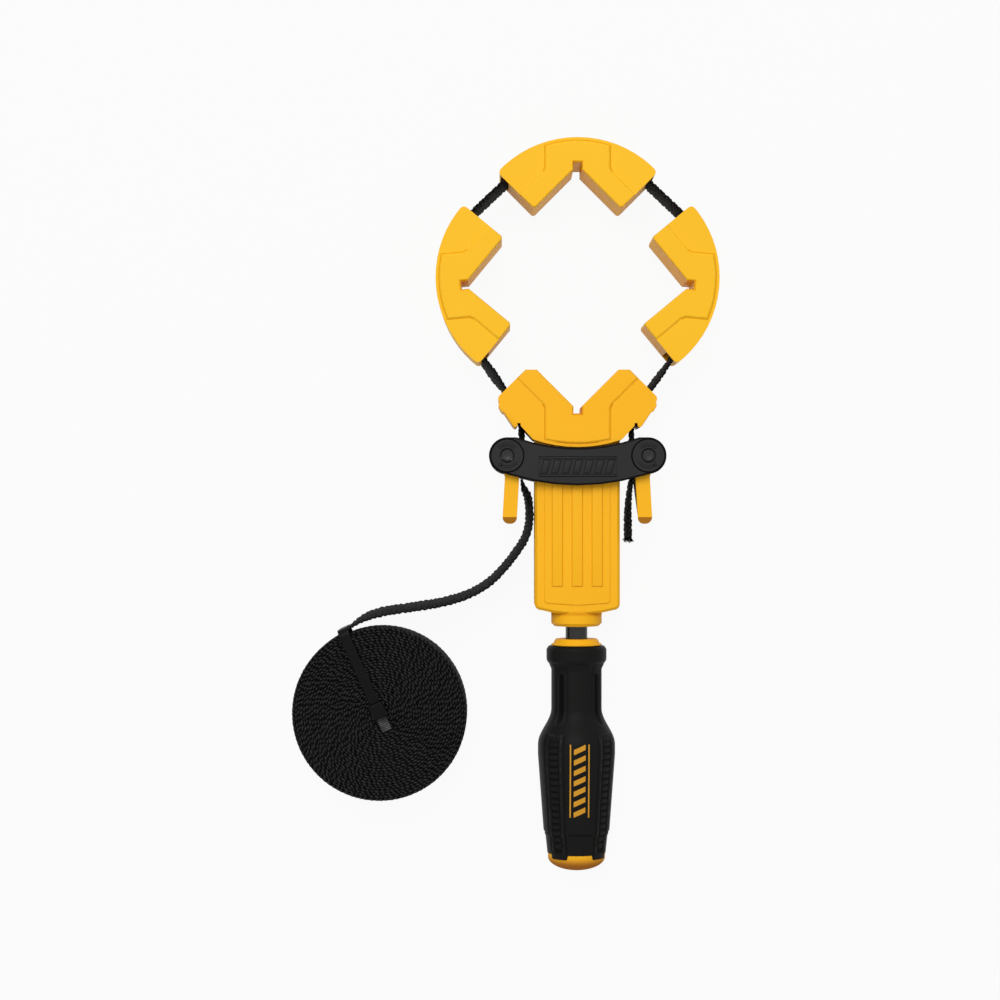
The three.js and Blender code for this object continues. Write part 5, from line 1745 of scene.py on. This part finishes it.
@dataclass
class ScrewHandle:
    """Handle: blackened spindle with its thread, yellow core, and the grip moulded round the core."""

    top: float = -65.25
    bore: float = 9.6
    skin: float = 0.5
    sides: int = 240
    spacing: float = 0.45
    twist: float = 5.5
    print_turn: float = 3.0
    grip_line: Line = (
        (0.0, 12.8), (1.2, 14.0), (6.5, 14.0), (10.5, 11.75), (29.0, 11.75), (46.0, 18.0), (50.5, 18.0),
        (87.0, 15.3), (87.8, 14.5), (96.0, 13.6),
    )
    swell_from: float = 29.0
    even_over: Spot = (-0.5, 0.0, 0.5)
    neck_panel: float = 18.0
    neck_span: Point = (9.3, 37.0)
    neck_depth: float = 0.28
    bow: float = 1.6
    neck_fade: float = 8.0
    step_from: Point = (7.4, 8.0)
    step_corner: Point = (16.0, 22.0)
    step_depth: float = 0.3
    flute: Spot = (14.0, 34.5, 1.7)
    flute_depth: float = 0.28
    flute_rim: float = 0.32
    lane: float = 9.8
    lane_span: Point = (43.2, 94.0)
    lane_depth: float = 0.5
    block_pitch: float = 2.95
    block_rise: float = 0.42
    block_start: Point = (0.14, 0.3)
    block_end: Point = (0.7, 0.86)
    border_from: Point = (40.0, 40.6)
    ridge: float = 12.8
    ridge_rise: float = 0.3
    ridge_soft: Point = (0.2, 0.65)
    cap: float = 40.8
    groove: float = 17.2
    groove_depth: float = 0.45
    groove_soft: Point = (0.15, 0.7)
    panel_from: Point = (21.2, 22.7)
    cross_groove: float = 86.6
    cross_depth: float = 0.5
    cross_soft: Point = (0.25, 0.7)
    shade_gains: Point = (-1.2, -2.5)
    tab_drop: float = 2.3
    tab_length: float = 5.0
    window_drop: float = 0.2
    window_span: Point = (18.0, 21.0)
    core_sides: int = 128
    dome: Spot = (13.3, -163.55, 6.2)
    dome_shade: Point = (-159.5, -168.0)
    core_line: Line = (
        (13.3, -163.4), (13.38, -162.2), (13.38, -159.2), (9.3, -159.0), (9.3, -64.95), (11.6, -64.95),
        (11.8, -64.75), (11.8, -64.45), (11.6, -64.25), (11.0, -64.2), (10.85, -64.05), (9.95, -62.25),
        (9.6, -61.97), (9.3, -61.95), (5.45, -61.95), (5.4, -62.4), (0.0, -62.4),
    )
    spindle_sides: int = 64
    spindle_line: Line = (
        (0.0, -103.95), (4.4, -103.95), (5.1, -103.2), (5.1, -44.75), (8.3, -44.75), (8.5, -44.55),
        (8.5, -40.95), (8.3, -40.75), (5.1, -40.75), (5.1, -39.3), (4.35, -38.5), (4.35, 23.6), (3.5, 24.5),
        (3.5, 30.8), (3.2, 31.15), (0.0, 31.15),
    )
    thread_span: Point = (-38.25, 23.6)
    thread_turns: float = 30.45
    thread_steps: int = 28
    thread_ring: Line = ((4.2, 0.0), (5.1, 0.42), (5.1, 0.78), (4.2, 1.2))
    print_half: float = 4.3
    print_span: Point = (-109.6, -143.4)
    print_levels: Point = (-0.3, 0.05)
    print_cuts: int = 6
    print_spacing: float = 1.5
    print_line: float = 0.62
    print_bars: int = 7
    bar_width: float = 5.4
    bar_share: float = 0.5
    bar_slant: float = 0.45

    def radius(self, drop: float) -> float:
        """Radius of the plain grip at a distance below its upper end.

        Args:
            drop: Distance below the upper end.

        Returns:
            The radius.
        """
        for (near, first), (far, last) in zip(self.grip_line, self.grip_line[1:]):
            if drop <= far:
                share = max(0.0, (drop - near) / (far - near))
                if near == self.swell_from:
                    share = (1 - math.cos(math.pi * share)) / 2
                return first + (last - first) * share
        return self.grip_line[-1][1]

    def neck(self, drop: float, corner: float) -> float:
        """Depth of the neck's moulding: flats between the corners, and a framed flute at each corner.

        Args:
            drop: Distance below the grip's upper end.
            corner: Angle from the nearest corner in degrees.

        Returns:
            The depth below the plain grip.
        """
        top, foot = self.neck_span
        reach = self.radius(drop) * math.radians(1)
        bow = top - self.bow * smoothstep(45, self.neck_panel, corner)
        along = smoothstep(bow - 0.5, bow + 0.5, drop) * fade(foot - self.neck_fade, foot, drop)
        deep = self.neck_depth * along * fade(self.neck_panel - 1.5, self.neck_panel + 1.5, corner)
        step = smoothstep(*self.step_from, drop) * fade(bow - 0.6, bow + 0.3, drop)
        deep += self.step_depth * step * smoothstep(*self.step_corner, corner)
        start, end, half = self.flute
        past = max(start - drop, drop - end, 0.0)
        out = math.hypot(corner * reach, past) if past else corner * reach
        deep += self.flute_depth * fade(half - 0.6, half - 0.1, out)
        rim = smoothstep(half - 0.2, half + 0.25, out) * fade(half + 0.35, half + 0.8, out)
        return deep - self.flute_rim * rim

    def belly(self, drop: float, corner: float) -> float:
        """Depth of the belly's moulding: a lane of blocks at each corner between ridges and grooves.

        Args:
            drop: Distance below the grip's upper end.
            corner: Angle from the nearest corner in degrees.

        Returns:
            The depth below the plain grip.
        """
        reach = self.radius(drop) * math.radians(1)
        side, lane = corner * reach, self.lane * reach
        first, last = self.lane_span
        along = smoothstep(first - 0.4, first + 0.4, drop) * fade(last - 0.4, last + 0.4, drop)
        deep = self.lane_depth * along * fade(lane - 0.3, lane + 0.3, side)
        phase = (drop - first) / self.block_pitch % 1
        raised = smoothstep(*self.block_start, phase) * fade(*self.block_end, phase)
        deep -= self.block_rise * raised * along * fade(lane - 0.9, lane - 0.4, side)
        border = smoothstep(*self.border_from, drop) * fade(last, last + 0.8, drop)
        deep -= self.ridge_rise * border * fade(*self.ridge_soft, abs(side - self.ridge * reach))
        deep += self.groove_depth * border * fade(*self.groove_soft, abs(side - self.groove * reach))
        deep -= self.ridge_rise * fade(*self.ridge_soft, abs(drop - self.cap)) * fade(lane, lane + 1.2, side)
        panel = smoothstep(*self.panel_from, corner)
        return deep + self.cross_depth * panel * fade(*self.cross_soft, abs(drop - self.cross_groove))

    def build(self) -> list[Object]:
        """Makes the handle and its spindle."""
        return [self.grip(), self.core(), self.spindle(), self.thread(), self.printed()]

    def grip(self) -> Object:
        """Makes the grip.

        Returns:
            The piece.
        """
        length = self.grip_line[-1][0]
        count = round(length / self.spacing)
        drops = [length * step / count for step in range(count + 1)]
        over = self.even_over
        plain = [sum(self.radius(drop + shift) for shift in over) / len(over) for drop in drops]
        outside = [(radius, self.top - drop) for radius, drop in zip(plain, drops)]
        inside = [(self.bore, self.top - length), (self.bore, self.top)]
        bm = turned([*outside, *inside], self.sides, closed=True)
        mark = bm.verts.layers.float.new(EDGE)
        for vert in bm.verts:
            drop = self.top - vert.co.y
            across, up = vert.co.x, vert.co.z - MID
            angle = math.degrees(math.atan2(across, up))
            radius = math.hypot(across, up)
            corner = abs((angle - self.twist) % 90 - 45)
            if radius > self.bore + self.skin:
                deep = self.neck(drop, corner) + self.belly(drop, corner)
                factor = 1 - deep / radius
                vert.co.x, vert.co.z = across * factor, MID + up * factor
                # Painted shade in the moulding's recesses, and a painted highlight with wear on its raised
                # parts.
                vert[mark] = self.shade_gains[deep < 0] * deep
            land = smoothstep(*self.window_span, corner)
            fall = self.tab_drop + land * (self.window_drop - self.tab_drop)
            vert.co.y -= fall * smoothstep(length - self.tab_length, length, drop)
        return finished("grip_moulding", bm, RUBBER, Body.HANDLE, ("handle_grip",), GRIP_CREASE)

    def core(self) -> Object:
        """Makes the core: domed butt with lands between the grip's tabs, and the stepped bolster.

        Returns:
            The piece.
        """
        radius, middle, rise = self.dome
        angles = [math.radians(angle) for angle in range(0, 90, 5)]
        dome = [(radius * math.sin(angle), middle - rise * math.cos(angle)) for angle in angles]
        bm = turned([*dome, *self.core_line], self.core_sides)
        mark = bm.verts.layers.float.new(EDGE)
        # Painted shade, darker towards the end of the butt's dome.
        for vert in bm.verts:
            vert[mark] = -smoothstep(*self.dome_shade, vert.co.y)
        return finished("core_moulding", bm, AMBER_PAINTED_SHADE, Body.HANDLE, ("handle_core",), CORE_CREASE)

    def spindle(self) -> Object:
        """Makes the spindle's plain shank with its flange and journal."""
        bm = turned(self.spindle_line, self.spindle_sides)
        return finished("spindle_shank", bm, OILED_STEEL, Body.HANDLE, ("spindle",))

    def thread(self) -> Object:
        """Winds the spindle's thread.

        Returns:
            The piece.
        """
        low, high = self.thread_span
        steps = round(self.thread_turns * self.thread_steps)
        bm = bmesh.new()
        ring = self.thread_ring
        face = bm.faces.new([bm.verts.new((radius, low + rise, MID)) for radius, rise in ring])
        bmesh.ops.spin(
            bm, geom=[face], cent=(0, 0, MID), axis=AXIS, dvec=(0, (high - low - ring[-1][1]) / steps, 0),
            angle=TURN * self.thread_turns, steps=steps, use_merge=False,
        )
        welded(bm)
        return finished("spindle_thread", bm, OILED_STEEL, Body.HANDLE, (), FINE_CREASE)

    def printed(self) -> Object:
        """Makes the printed marks on the front panel: two lines with slanted bars between them.

        Returns:
            The piece.
        """
        bm = bmesh.new()
        high, low = self.print_span
        middle, tall = (high + low) / 2, high - low
        for x in (-self.print_half, self.print_half):
            self.stamp(bm, x, middle, self.print_line, tall, 0.0)
        pitch = tall / self.print_bars
        for bar in range(self.print_bars):
            station = low + pitch * (bar + 0.5)
            self.stamp(bm, 0.0, station, self.bar_width, pitch * self.bar_share, self.bar_slant)
        for vert in bm.verts:
            plain = self.radius(self.top - vert.co.y)
            angle = vert.co.x / plain + math.radians(self.print_turn)
            radius = plain + vert.co.z
            vert.co = (radius * math.sin(angle), vert.co.y, MID + radius * math.cos(angle))
        return finished("grip_print", bm, PRINT, Body.HANDLE, (), GRIP_CREASE)

    def stamp(self, bm: BMesh, x: float, y: float, wide: float, tall: float, slant: float) -> None:
        """Adds one flat mark.

        Args:
            bm: Shape of the marks.
            x: Middle of the mark across the grip.
            y: Middle of the mark along the grip.
            wide: Width of the mark.
            tall: Length of the mark.
            slant: Rise for each unit of width.
        """
        count = max(2, round(tall / self.print_spacing))
        made = bmesh.ops.create_grid(bm, x_segments=self.print_cuts, y_segments=count, size=0.5)["verts"]
        bmesh.ops.scale(bm, vec=(wide, tall, 1), verts=made)
        faces = list({face for vert in made for face in vert.link_faces})
        lifted = bmesh.ops.extrude_face_region(bm, geom=faces)["geom"]
        upper = [item for item in lifted if isinstance(item, BMVert)]
        for level, verts in zip(self.print_levels, (made, upper)):
            for vert in verts:
                vert.co.z = level
        for vert in [*made, *upper]:
            vert.co.y += y + slant * vert.co.x
            vert.co.x += x
        shell = list({face for vert in [*made, *upper] for face in vert.link_faces})
        bmesh.ops.recalc_face_normals(bm, faces=shell)


def dress_solids(finishes: dict[str, Finish]) -> None:
    """Gives solids that stay in view their finish.

    Args:
        finishes: Finish of each solid.
    """
    for node, finish in finishes.items():
        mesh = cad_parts[node].data
        mesh.materials.clear()
        mesh.materials.append(finish.material())
        LOG.info("dressed %s as %s", node, finish.name)


def main() -> None:
    """Builds the studio and the clamp's sub-assemblies in order."""
    logging.basicConfig(level=logging.INFO, format="%(message)s")
    Studio().build()
    ribbon = Ribbon()
    coil_ribbon = Ribbon(thick=1.06, bead=0.2, bead_shift=0.0, crown=0.12, lift=0.28, bead_pitch=2.35)
    parts = (
        FreeStrap(coil_ribbon), StrapLoop(ribbon), CornerJaws(), ClampHead(), LockBridge(), CamLevers(),
        ScrewHandle(),
    )
    for part in parts:
        for piece in part.build():
            LOG.info("%s: %s, %d faces", type(part).__name__, piece.name, len(piece.data.polygons))
    dress_solids({
        "travel_nut": BRASS, "spindle_top_bush": NYLON, "thrust_washer_lower": STEEL,
        "thrust_washer_upper": STEEL,
    })


if __name__ == "__main__":
    main()
